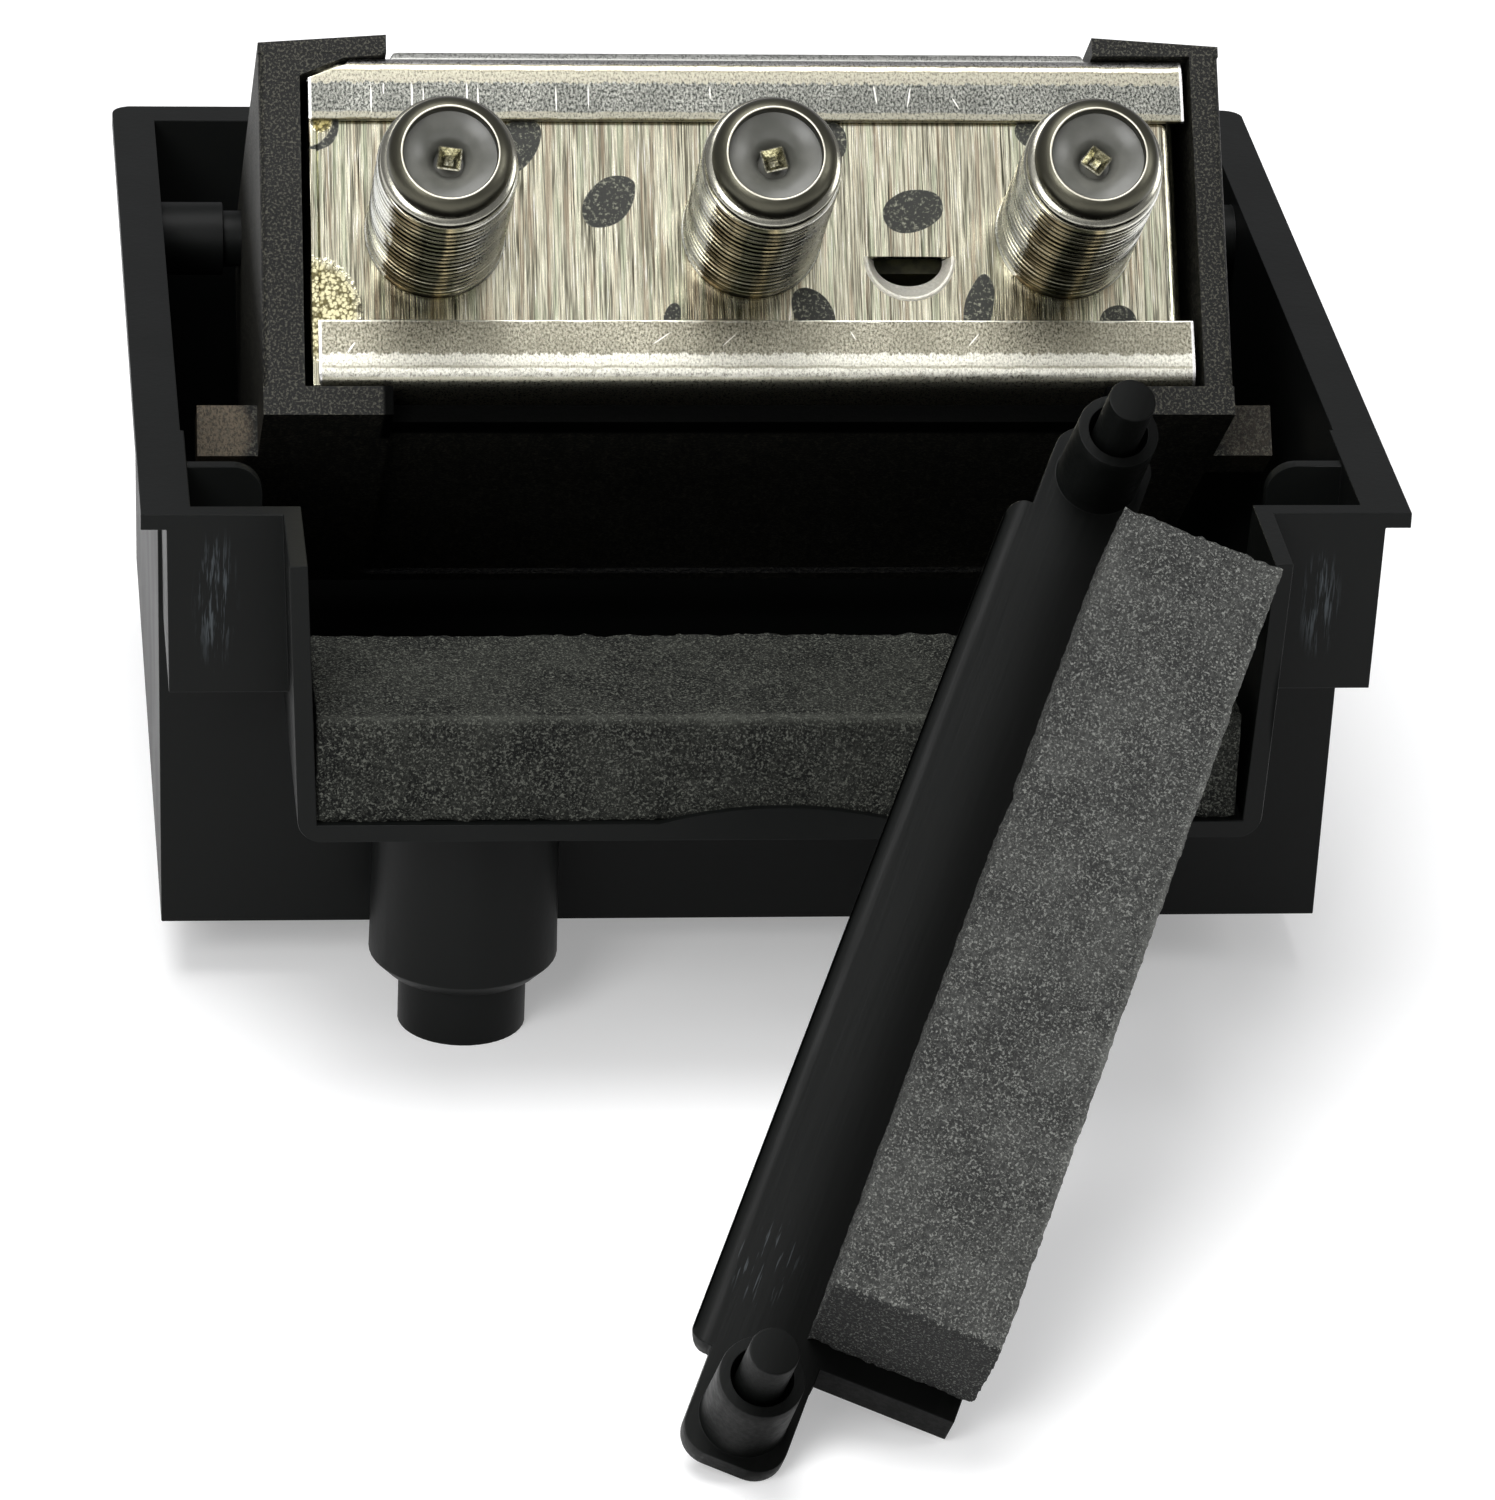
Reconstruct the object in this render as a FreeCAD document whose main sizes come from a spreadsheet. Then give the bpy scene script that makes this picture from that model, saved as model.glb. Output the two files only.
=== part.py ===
import FreeCAD, Part
import os
import re

# Mast-mount coupler housing: a moulded box with a swing-up drawer that carries a
# screened module with three coaxial sockets, and the clamp bar that seals the cables,
# taken off and stood in front.
# X runs to the right, Y away from the cable mouth, Z up. The origin is midway between
# the two mounting posts, on the plane of their ends. Lengths are in millimetres.

SIZES = {
    # Box: outer flange, walls and floor
    "flange_width": 83.2,
    "flange_depth": 74.5,
    "flange_overhang": 1.4,
    "flange_thick": 1.1,
    "flange_radius": 1.4,
    "wall": 1.6,
    "front_wall": 1.4,
    "side_taper": 0.65,
    "shell_height": 35.5,
    "floor_thick": 1.8,
    # Nose: the two columns in front of the lower wall
    "nose_depth": 12.4,
    "nose_height": 12.65,
    "nose_floor": 1.2,
    "nose_inset": 0.25,
    "nose_taper": 0.3,
    # Mouth: the open trough where the cables leave
    "mouth_width": 62.4,
    "mouth_depth": 18.35,
    "mouth_taper": 0.9,
    "mouth_reach": 8.3,
    "mouth_wall": 1.2,
    "mouth_radius": 1.6,
    "arch_width": 16.0,
    "arch_rise": 1.1,
    "arch_thick": 0.6,
    # Slots behind the columns that take the clamp bar's ends
    "slot_width": 7.1,
    "rib_thick": 1.0,
    "rib_reach": 5.0,
    "rib_drop": 0.3,
    "rib_radius": 2.0,
    "lock_clearance": 0.15,
    # Mounting posts and mast saddles under the box
    "post_pitch": 39.0,
    "post_setback": 6.3,
    "collar_dia": 12.7,
    "collar_draft": 0.15,
    "collar_chamfer": 1.0,
    "post_dia": 8.6,
    "post_drop": 4.3,
    "post_hole_dia": 4.2,
    "post_hole_depth": 14.0,
    "mast_dia": 25.4,
    "saddle_width": 34.0,
    "saddle_thick": 2.0,
    "saddle_web": 0.15,
    "saddle_near": 30.0,
    "saddle_far": 66.0,
    # Pivot of the drawer
    "pivot_back": 57.5,
    "pivot_drop": 3.64,
    "boss_dia": 5.2,
    "boss_gap": 1.3,
    "pivot_dia": 4.0,
    "pivot_clearance": 0.05,
    "pivot_grip": 1.8,
    "open_angle": 40.1,
    # Drawer frame, measured from the middle of its front face
    "drawer_width": 65.7,
    "drawer_height": 26.34,
    "drawer_depth": 40.0,
    "cheek_left": 2.8,
    "cheek_right": 2.0,
    "cheek_round": 0.6,
    "drawer_lip": 8.7,
    "lip_top": 0.7,
    "lip_rise": 0.6,
    "lip_bottom": 2.0,
    "drawer_back": 1.6,
    "tray_thick": 1.2,
    "tray_set": 3.0,
    "pivot_behind_face": 31.1,
    "pivot_above_middle": 9.6,
    "lug_reach": 4.1,
    "lug_height": 3.6,
    "lug_length": 4.0,
    "lug_setback": 9.5,
    "ledge_reach": 3.65,
    "ledge_thick": 1.5,
    "stop_gap": 0.15,
    # Screened module
    "can_clearance": 0.12,
    "can_side_gap": 0.55,
    "sheet_metal": 0.5,
    "panel_recess": 0.6,
    "panel_hole_gap": 0.05,
    "cover_lip_top": 4.62,
    "cover_lip_bottom": 4.55,
    "emboss_rise": 0.8,
    "emboss_gap": 0.25,
    "emboss_start": 1.4,
    "slot_across": 5.7,
    "slot_high": 2.87,
    "slot_side": 10.7,
    "slot_down": 1.8,
    # Sockets
    "socket_pitch": 21.45,
    "thread_dia": 9.45,
    "tip_dia": 8.9,
    "tip_length": 2.6,
    "relief_dia": 8.7,
    "relief_length": 1.1,
    "socket_reach": 15.6,
    "socket_bore": 6.7,
    "bore_depth": 4.4,
    "throat_dia": 5.0,
    "shoulder_dia": 11.2,
    "shoulder_thick": 1.2,
    "insulator_set": 0.9,
    "insulator_cone": 1.5,
    "dish_rim": 0.5,
    "eye_rim": 0.3,
    "contact_dia": 0.9,
    "contact_eye": 1.5,
    "contact_set": 2.0,
    "contact_tail": 5.0,
    # Circuit board and what stands on it
    "board_thick": 1.6,
    "board_gap": 1.2,
    "coil_dia": 5.0,
    "coil_bore": 3.6,
    "coil_length": 6.0,
    "coil_row": 6.0,
    "coil_shift": 3.0,
    "core_width": 7.0,
    "core_depth": 6.0,
    "core_height": 5.0,
    "core_hole": 1.6,
    "disc_dia": 5.0,
    "disc_thick": 1.8,
    "chip_width": 4.4,
    "chip_height": 3.2,
    # Cable seals
    "foam_clearance": 0.2,
    "foam_depth": 13.0,
    "foam_height": 7.3,
    "foam_inset": 0.7,
    "foam_seat": 0.1,
    # Clamp bar, measured from the middle of the line through its two tubes
    "bar_gap": 1.05,
    "bar_side_gap": 0.3,
    "bar_thick": 1.6,
    "bar_back": 4.8,
    "bar_rim": 1.4,
    "bar_rim_height": 1.3,
    "bar_rim_start": 3.4,
    "tab_clearance": 0.25,
    "tab_end": 3.3,
    "tab_round": 2.0,
    "tube_dia": 5.3,
    "tube_bore": 3.86,
    "tube_height": 6.3,
    "tube_draft": 0.1,
    "tube_gap": 0.05,
    "tube_floor": 2.0,
    "lock_dia": 3.1,
    "lock_length": 10.4,
    "pad_start": 1.95,
    "pad_width": 11.0,
    "pad_thick": 8.4,
    "pad_inset": 1.5,
    # Stance of the bar, which leans on the right wall of the mouth
    "lean_gap": 1.18,
    "lean_reach": 2.13,
    "bar_yaw": -116.6,
    "bar_pitch": 33.2,
    "bar_roll": -20.9,
}

# Sums of the sizes that several pieces share. A cutter runs past the face that it opens,
# and a piece is sunk into the one that it is joined to.
SUMS = {
    "past": "1",
    "sunk": "0.5",
    "rim": "post_drop + shell_height",
    "front": "-post_setback",
    "back": "flange_depth - flange_overhang - post_setback",
    "half_wall": "flange_width / 2 - flange_overhang",
    "half_inner": "half_wall - wall",
    "nose_half": "half_wall - nose_inset",
    "nose_inner": "nose_half - wall",
    "floor_top": "post_drop + floor_thick",
    "nose_bottom": "rim - nose_height",
    "nose_back": "front + nose_depth",
    "half_mouth": "mouth_width / 2",
    "mouth_floor": "rim - mouth_depth",
    "mouth_front": "front - mouth_reach",
    "slot_middle": "front + front_wall + slot_width / 2",
    "post_half": "post_pitch / 2",
    "pivot_y": "front + pivot_back",
    "pivot_z": "rim - pivot_drop",
    "half_drawer": "drawer_width / 2",
    "drawer_top": "drawer_height / 2",
    "boss_end": "half_drawer + boss_gap",
    "half_can": "half_drawer - (cheek_left + cheek_right) / 2 - can_side_gap",
    "module_middle": "(cheek_left - cheek_right) / 2",
    "emboss_half": "half_drawer - drawer_lip - emboss_gap",
    "can_top": "drawer_top - lip_top - can_clearance",
    "can_bottom": "lip_bottom + can_clearance - drawer_top",
    "can_depth": "drawer_depth - drawer_back - can_clearance",
    "panel_back": "panel_recess + sheet_metal",
    "board_top": "-contact_dia / 2",
    "board_front": "panel_back + shoulder_thick + board_gap",
    "board_back": "can_depth - 2 * sheet_metal",
    "tube_half": "nose_inner - tube_dia / 2 - tube_gap",
    "bar_half": "half_mouth - bar_side_gap",
    "wing_half": "bar_half + mouth_wall",
    "bar_front": "mouth_reach + front_wall + slot_width / 2 - bar_gap",
    "tab_width": "slot_width - 2 * tab_clearance",
    "foam_width": "2 * (half_mouth - mouth_taper - foam_clearance)",
    "relief_front": "panel_recess - relief_length",
    "lock_radius": "lock_dia / 2",
}

doc = FreeCAD.newDocument("coupler_housing")
sheet = doc.addObject("Spreadsheet::Sheet", "sheet")
for row, (alias, size) in enumerate(SIZES.items(), start=1):
    sheet.set("A%d" % row, alias)
    sheet.set("B%d" % row, str(size))
    sheet.setAlias("B%d" % row, alias)
doc.recompute()


def cell_text(text):
    """Spell an expression out in sheet cells, with each named sum opened."""
    def spell(found):
        word = found.group()
        if word in SUMS:
            return "(" + cell_text(SUMS[word]) + ")"
        return "sheet." + word if word in SIZES else word
    return re.sub(r"[a-z_]+", spell, str(text))


def value(text):
    """Number that an expression gives with the sizes now in the sheet."""
    return float(sheet.evalExpression(cell_text(text)))


def bind(item, **entries):
    for key, text in entries.items():
        item.setExpression(key, cell_text(text))


def place(item, low):
    for axis, text in zip("xyz", low):
        item.setExpression("Placement.Base." + axis, cell_text(text))


def box(name, low, size):
    item = doc.addObject("Part::Box", name)
    bind(item, Length=size[0], Width=size[1], Height=size[2])
    place(item, low)
    return item


AXES = {"x": FreeCAD.Rotation(FreeCAD.Vector(0, 1, 0), 90),
        "y": FreeCAD.Rotation(FreeCAD.Vector(1, 0, 0), -90),
        "z": FreeCAD.Rotation()}


def rod(name, axis, start, radius, length):
    """Cylinder that starts at a point and runs along +X, +Y or +Z."""
    item = doc.addObject("Part::Cylinder", name)
    item.Placement.Rotation = AXES[axis]
    bind(item, Radius=radius, Height=length)
    place(item, start)
    return item


def cone(name, axis, start, radius_start, radius_end, length):
    item = doc.addObject("Part::Cone", name)
    item.Placement.Rotation = AXES[axis]
    bind(item, Radius1=radius_start, Radius2=radius_end, Height=length)
    place(item, start)
    return item


def tapered(name, half_top, half_bottom, y_near, y_far, z_low, z_high):
    """Block whose two sides lean in towards the bottom."""
    item = doc.addObject("Part::Wedge", name)
    item.Placement.Rotation = FreeCAD.Rotation(FreeCAD.Vector(1, 0, 0), 90)
    bind(item, Ymin=z_low, Ymax=z_high,
         Xmin="-(" + half_bottom + ")", Xmax=half_bottom,
         X2min="-(" + half_top + ")", X2max=half_top,
         Zmin="-(" + y_far + ")", Zmax="-(" + y_near + ")",
         Z2min="-(" + y_far + ")", Z2max="-(" + y_near + ")")
    return item


def joined(name, pieces):
    item = doc.addObject("Part::MultiFuse", name)
    item.Shapes = pieces
    return item


def carved(name, base, tools):
    item = doc.addObject("Part::Cut", name)
    item.Base = base
    item.Tool = tools[0] if len(tools) == 1 else joined(name + "_tools", tools)
    return item


def rounded(name, base, radius, wanted):
    """Fillet the straight edges of a block that the test picks."""
    doc.recompute()
    item = doc.addObject("Part::Fillet", name)
    item.Base = base
    size = value(radius)
    item.Edges = [(number, size, size) for number, edge in enumerate(base.Shape.Edges, start=1)
                  if wanted(edge)]
    return item


def sides(make):
    """The same piece on the left, -1, and on the right, 1."""
    return [piece for sign, word in ((-1, "left"), (1, "right")) for piece in make(sign, word)]


def span(sign, inner, outer):
    """Low end of a stretch of X from inner to outer, on the given side."""
    return inner if sign > 0 else "-(" + outer + ")"


def is_upright(edge):
    return abs(edge.tangentAt(edge.FirstParameter).z) > 0.99


def middle(edge):
    return edge.valueAt((edge.FirstParameter + edge.LastParameter) / 2)


# Box: tapered block with a narrower nose in front, and a flange on three sides
block = tapered("block", "half_wall", "half_wall - side_taper", "nose_back", "back", "post_drop", "rim")
nose_block = tapered("nose_block", "nose_half", "nose_half - nose_taper", "front", "nose_back + sunk",
                     "nose_bottom", "rim")
flange_plate = box("flange_plate", ("-flange_width / 2", "front", "rim - flange_thick"),
                   ("flange_width", "flange_depth", "flange_thick"))
far_line = value("front + flange_depth")
flange = rounded("flange", flange_plate, "flange_radius",
                 lambda edge: is_upright(edge) and middle(edge).y > far_line - 0.01)

# Trough of the mouth, with its lower edges rounded
trough_block = tapered("trough_block", "half_mouth + mouth_wall",
                       "half_mouth + mouth_wall - mouth_taper", "mouth_front", "nose_back + wall / 2",
                       "mouth_floor - mouth_wall", "rim")
trough_low = value("mouth_floor - mouth_wall")
trough = rounded("trough", trough_block, "mouth_radius",
                 lambda edge: (abs(middle(edge).z - trough_low) < 0.01
                               and abs(edge.tangentAt(edge.FirstParameter).y) > 0.99))


def post(sign, word):
    """Mounting post: a chamfered collar under the trough and a slimmer end below it."""
    centre = ("%d * post_half" % sign, "0")
    chamfer = cone("collar_chamfer_" + word, "z", centre + ("post_drop",),
                   "collar_dia / 2 - collar_chamfer", "collar_dia / 2", "collar_chamfer")
    collar = cone("collar_" + word, "z", centre + ("post_drop + collar_chamfer",), "collar_dia / 2",
                  "collar_dia / 2 - collar_draft",
                  "mouth_floor - mouth_wall / 2 - post_drop - collar_chamfer")
    end = rod("post_end_" + word, "z", centre + ("0",), "post_dia / 2", "post_drop + sunk")
    return [chamfer, collar, end]


def trunnion(sign, word):
    """Boss and pivot pin moulded on the inside of a side wall."""
    boss_low = span(sign, "boss_end", "half_inner + wall / 2")
    pin_low = span(sign, "half_drawer - pivot_grip", "boss_end + sunk")
    boss = rod("boss_" + word, "x", (boss_low, "pivot_y", "pivot_z"), "boss_dia / 2",
               "half_inner + wall / 2 - boss_end")
    pin = rod("pivot_pin_" + word, "x", (pin_low, "pivot_y", "pivot_z"), "pivot_dia / 2",
              "boss_end + sunk - half_drawer + pivot_grip")
    return [boss, pin]


def slot_rib(sign, word):
    """Upright rib behind a column, with its upper inner corner rounded."""
    tip = "nose_inner - rib_reach"
    near = "front + front_wall + slot_width"
    low = "nose_bottom + nose_floor / 2"
    top = "rim - rib_drop"
    plate = box("rib_plate_" + word, (span(sign, tip, "nose_inner + wall / 2"), near, low),
                ("rib_reach + wall / 2", "rib_thick", "%s - rib_radius - (%s)" % (top, low)))
    cap_low = top + " - rib_radius - sunk"
    cap = box("rib_cap_" + word,
              (span(sign, tip + " + rib_radius", "nose_inner + wall / 2"), near, cap_low),
              ("rib_reach - rib_radius + wall / 2", "rib_thick", "rib_radius + sunk"))
    corner = rod("rib_corner_" + word, "y",
                 ("%d * (%s + rib_radius)" % (sign, tip), near, top + " - rib_radius"),
                 "rib_radius", "rib_thick")
    return [plate, cap, corner]


def stop_ledge(sign, word):
    """Ledge on a side wall that the drawer's lug rests on when it is shut."""
    lug_y = "pivot_y - pivot_behind_face + lug_setback"
    top = "pivot_z - pivot_above_middle - drawer_top - stop_gap"
    return [box("stop_ledge_" + word,
                (span(sign, "half_inner - ledge_reach", "half_inner"), lug_y, top + " - ledge_thick"),
                ("ledge_reach", "lug_length", "ledge_thick"))]


def saddle(word, place_back):
    """Cross rib under the floor, hollowed to sit on the mast."""
    rib = box("saddle_rib_" + word,
              ("-saddle_width / 2", "front + %s - saddle_thick / 2" % place_back, "0"),
              ("saddle_width", "saddle_thick", "post_drop + floor_thick / 2"))
    mast = rod("mast_" + word, "y",
               ("0", "front + %s - saddle_thick" % place_back, "post_drop - mast_dia / 2 - saddle_web"),
               "mast_dia / 2", "2 * saddle_thick")
    return carved("saddle_" + word, rib, [mast])


# Low arch on the lip of the mouth, in front of the foam
arch_radius = "(arch_width * arch_width / 8 / arch_rise + arch_rise / 2)"
arch_disc = rod("arch_disc", "y", ("0", "mouth_front", "mouth_floor + arch_rise - " + arch_radius),
                arch_radius, "arch_thick")
arch_window = box("arch_window", ("-arch_width / 2", "mouth_front", "mouth_floor - mouth_wall / 2"),
                  ("arch_width", "arch_thick", "arch_rise + mouth_wall"))
arch = doc.addObject("Part::Common", "arch")
arch.Base = arch_disc
arch.Tool = arch_window

cavity = tapered("cavity", "half_inner + side_taper / shell_height", "half_inner - side_taper",
                 "nose_back + wall", "back - wall", "floor_top", "rim + past")
nose_cavity = box("nose_cavity", ("-nose_inner", "front + front_wall", "nose_bottom + nose_floor"),
                  ("2 * nose_inner", "nose_depth - front_wall + wall + sunk",
                   "nose_height - nose_floor + past"))
channel = tapered("channel", "half_mouth + mouth_taper / mouth_depth", "half_mouth - mouth_taper",
                  "mouth_front - past", "nose_back + wall + past", "mouth_floor", "rim + past")

hollow = carved("hollow", joined("outside", [block, nose_block, flange, trough]
                                 + sides(post) + [saddle("near", "saddle_near"),
                                                  saddle("far", "saddle_far")]),
                [cavity, nose_cavity, channel])


def post_hole(sign, word):
    return [rod("post_hole_" + word, "z", ("%d * post_half" % sign, "0", "-past"),
                "post_hole_dia / 2", "post_hole_depth + past")]


def lock_socket(sign, word):
    """Hole in the nose floor that takes the end of a lock pin."""
    return [rod("lock_socket_" + word, "z",
                ("%d * tube_half" % sign, "slot_middle", "nose_bottom - past"),
                "lock_dia / 2 + lock_clearance", "nose_floor + 2 * past")]


housing = carved("housing_shell",
                 joined("fitted", [hollow, arch] + sides(trunnion) + sides(slot_rib) + sides(stop_ledge)),
                 sides(post_hole) + sides(lock_socket))

# Lower cable seal: a foam block on the floor of the mouth
lower_foam = box("lower_foam",
                 ("-foam_width / 2", "mouth_front + foam_inset", "mouth_floor + foam_seat"),
                 ("foam_width", "foam_depth", "foam_height"))

# Drawer frame: two cheeks with lips top and bottom, joined by a back wall


def bent_lip(name, low, high, top_low, top_high):
    """Lip with a flat underside, whose top climbs along X between two heights."""
    item = doc.addObject("Part::Wedge", name)
    item.Placement.Rotation = FreeCAD.Rotation(FreeCAD.Vector(1, 1, 1), -120)
    bind(item, Ymin=low, Ymax=high, Xmin="drawer_top - lip_top", Xmax=top_low,
         X2min="drawer_top - lip_top", X2max=top_high,
         Zmin="0", Zmax="drawer_depth", Z2min="0", Z2max="drawer_depth")
    return item


def cheek_piece(sign, word):
    cheek = "cheek_" + word
    inner = "half_drawer - " + cheek
    slab = box("slab_" + word, (span(sign, inner, "half_drawer"), "0", "-drawer_top"),
               (cheek, "drawer_depth", "drawer_height"))
    edge_x = value("half_drawer")
    side = rounded("side_" + word, slab, "cheek_round",
                   lambda edge: (is_upright(edge) and abs(middle(edge).y) < 0.01
                                 and abs(abs(middle(edge).x) - edge_x) < 0.01))
    lip_low = span(sign, "half_drawer - drawer_lip", "half_drawer")
    bottom = box("bottom_lip_" + word, (lip_low, "0", "-drawer_top"),
                 ("drawer_lip", "drawer_depth", "lip_bottom"))
    ends = ["drawer_top + lip_rise", "drawer_top"]
    top = bent_lip("top_lip_" + word, lip_low, lip_low + " + drawer_lip", *ends[::sign])
    lug = box("lug_" + word, (span(sign, "half_drawer - %s / 2" % cheek, "half_drawer + lug_reach"),
                              "lug_setback", "-drawer_top"),
              ("lug_reach + %s / 2" % cheek, "lug_length", "lug_height"))
    return [side, bottom, top, lug]


def cheek_hole(sign, word):
    low = span(sign, "half_drawer - cheek_%s - past" % word, "half_drawer + past")
    return [rod("cheek_hole_" + word, "x", (low, "pivot_behind_face", "pivot_above_middle"),
                "pivot_dia / 2 + pivot_clearance", "cheek_%s + 2 * past" % word)]


back_wall = box("back_wall", ("-half_drawer", "drawer_depth - drawer_back", "-drawer_top"),
                ("drawer_width", "drawer_back", "drawer_height"))
tray = box("tray",
           ("-half_drawer + cheek_left / 2", "tray_set", "-drawer_top + (lip_bottom - tray_thick) / 2"),
           ("drawer_width - (cheek_left + cheek_right) / 2",
            "drawer_depth - tray_set - drawer_back / 2", "tray_thick"))
drawer_frame = carved("drawer_frame", joined("drawer_solid", sides(cheek_piece) + [back_wall, tray]),
                      sides(cheek_hole))

# Screened module: a folded frame with a pierced front panel, closed by two covers
can_wide = "2 * half_can"
frame_block = box("frame_block", ("-half_can", "panel_recess", "can_bottom + sheet_metal"),
                  (can_wide, "can_depth - sheet_metal - panel_recess",
                   "can_top - can_bottom - 2 * sheet_metal"))
frame_inside = box("frame_inside", ("sheet_metal - half_can", "panel_back", "can_bottom - past"),
                   (can_wide + " - 2 * sheet_metal", "board_back - panel_back",
                    "can_top - can_bottom + 2 * past"))


def socket_spots():
    return [("left", "-socket_pitch"), ("centre", "0"), ("right", "socket_pitch")]


panel_holes = [rod("panel_hole_" + word, "y", (across, "panel_recess - past", "0"),
                   "thread_dia / 2 + panel_hole_gap", "sheet_metal + 2 * past")
               for word, across in socket_spots()]
slot_round = rod("slot_round", "y", ("slot_side", "panel_recess - past", "-slot_down"),
                 "slot_high", "sheet_metal + 2 * past")
slot_block = box("slot_block",
                 ("slot_side - slot_across / 2", "panel_recess - past", "-slot_down - slot_high - past"),
                 ("slot_across", "sheet_metal + 2 * past", "slot_high + past"))
panel_slot = doc.addObject("Part::Common", "panel_slot")
panel_slot.Base = slot_round
panel_slot.Tool = slot_block
shield_frame = carved("shield_frame", frame_block, [frame_inside, panel_slot] + panel_holes)


def cover(name, word, plate_low, lip_low, lip_height):
    """Push-on cover: a flat plate with a lip folded over the front and the back."""
    plate = box(word + "_plate", ("-half_can", "0", plate_low),
                (can_wide, "can_depth", "sheet_metal"))
    front_lip = box(word + "_front_lip", ("-half_can", "0", lip_low),
                    (can_wide, "sheet_metal", lip_height))
    back_lip = box(word + "_back_lip", ("-half_can", "can_depth - sheet_metal", lip_low),
                   (can_wide, "sheet_metal", lip_height))
    return joined(name, [plate, front_lip, back_lip])


flat_top = cover("flat_cover", "top", "can_top - sheet_metal", "can_top - cover_lip_top", "cover_lip_top")
emboss = box("emboss", ("-module_middle - emboss_half", "emboss_start", "can_top - sheet_metal / 2"),
             ("2 * emboss_half", "can_depth - 2 * emboss_start", "sheet_metal / 2 + emboss_rise"))
emboss_hollow = box("emboss_hollow",
                    ("-module_middle - emboss_half + sheet_metal", "emboss_start + sheet_metal",
                     "can_top - sheet_metal - past"),
                    ("2 * emboss_half - 2 * sheet_metal", "can_depth - 2 * emboss_start - 2 * sheet_metal",
                     "past + emboss_rise"))
cover_top = carved("shield_cover_top", joined("raised_top", [flat_top, emboss]), [emboss_hollow])
cover_bottom = cover("shield_cover_bottom", "bottom", "can_bottom", "can_bottom", "cover_lip_bottom")


def coax_socket(word, across):
    """Threaded body, insulator and spring contact of one socket."""
    panel = "panel_recess"
    tip = "-socket_reach"
    thread = rod("thread_" + word, "y", (across, tip + " + tip_length", "0"), "thread_dia / 2",
                 panel + " + socket_reach - tip_length + shoulder_thick + sheet_metal")
    nose = rod("tip_" + word, "y", (across, tip, "0"), "tip_dia / 2", "tip_length + sunk")
    shoulder = rod("shoulder_" + word, "y", (across, "panel_back", "0"), "shoulder_dia / 2",
                   "shoulder_thick")
    bore = rod("bore_" + word, "y", (across, tip + " - past", "0"), "socket_bore / 2", "bore_depth + past")
    throat = rod("throat_" + word, "y", (across, tip, "0"), "throat_dia / 2",
                 "socket_reach + panel_back + shoulder_thick + past")
    relief_ring = rod("relief_ring_" + word, "y", (across, "relief_front", "0"), "shoulder_dia / 2",
                      "relief_length")
    relief_core = rod("relief_core_" + word, "y", (across, "relief_front - past", "0"),
                      "relief_dia / 2", "relief_length + 2 * past")
    relief = carved("relief_" + word, relief_ring, [relief_core])
    shell = carved("socket_body_" + word, joined("socket_turned_" + word, [thread, nose, shoulder]),
                   [bore, throat, relief])
    face_y = tip + " + insulator_set"
    head = rod("insulator_head_" + word, "y", (across, face_y, "0"), "socket_bore / 2",
               "bore_depth - insulator_set")
    neck = rod("insulator_neck_" + word, "y", (across, face_y, "0"), "throat_dia / 2",
               "socket_reach - insulator_set + panel_back + shoulder_thick")
    dish = cone("dish_" + word, "y", (across, face_y + " - 0.01", "0"), "socket_bore / 2 - dish_rim",
                "contact_eye / 2 + eye_rim", "insulator_cone")
    way = rod("way_" + word, "y", (across, face_y, "0"), "contact_dia / 2",
              "socket_reach + panel_back + shoulder_thick + past")
    eye_way = box("eye_way_" + word, (across + " - contact_eye / 2", face_y, "-contact_eye / 2"),
                  ("contact_eye", "contact_set + contact_dia", "contact_eye"))
    insulator = carved("socket_insulator_" + word,
                       joined("insulator_turned_" + word, [head, neck]), [dish, way, eye_way])
    pin = rod("pin_" + word, "y", (across, face_y + " + contact_set", "0"), "contact_dia / 2",
              "socket_reach - insulator_set - contact_set + board_front + contact_tail")
    eye = box("eye_" + word, (across + " - contact_eye / 2", face_y + " + contact_set", "-contact_eye / 2"),
              ("contact_eye", "contact_dia", "contact_eye"))
    contact = joined("socket_contact_" + word, [pin, eye])
    return [shell, insulator, contact]


sockets = [piece for word, across in socket_spots() for piece in coax_socket(word, across)]

# Circuit board across the module, with its parts standing on it
board = box("circuit_board", ("sheet_metal - half_can", "board_front", "board_top - board_thick"),
            (can_wide + " - 2 * sheet_metal", "board_back - board_front", "board_thick"))
coils = joined("air_coils", [
    carved("coil_%d" % number,
           rod("coil_outer_%d" % number, "x", (across, depth, "board_top + coil_dia / 2"),
               "coil_dia / 2", "coil_length"),
           [rod("coil_inner_%d" % number, "x", (across + " - past", depth, "board_top + coil_dia / 2"),
                "coil_bore / 2", "coil_length + 2 * past")])
    for number, (across, depth) in enumerate((
        ("-socket_pitch - coil_length / 2", "board_front + 2 * coil_row"),
        ("-socket_pitch / 2 - coil_length / 2", "board_front + coil_row"),
        ("-socket_pitch / 2 - coil_length / 2", "board_front + 2 * coil_row + coil_shift"),
        ("socket_pitch - coil_length / 2", "board_front + 2 * coil_row")), start=1)])
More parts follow.
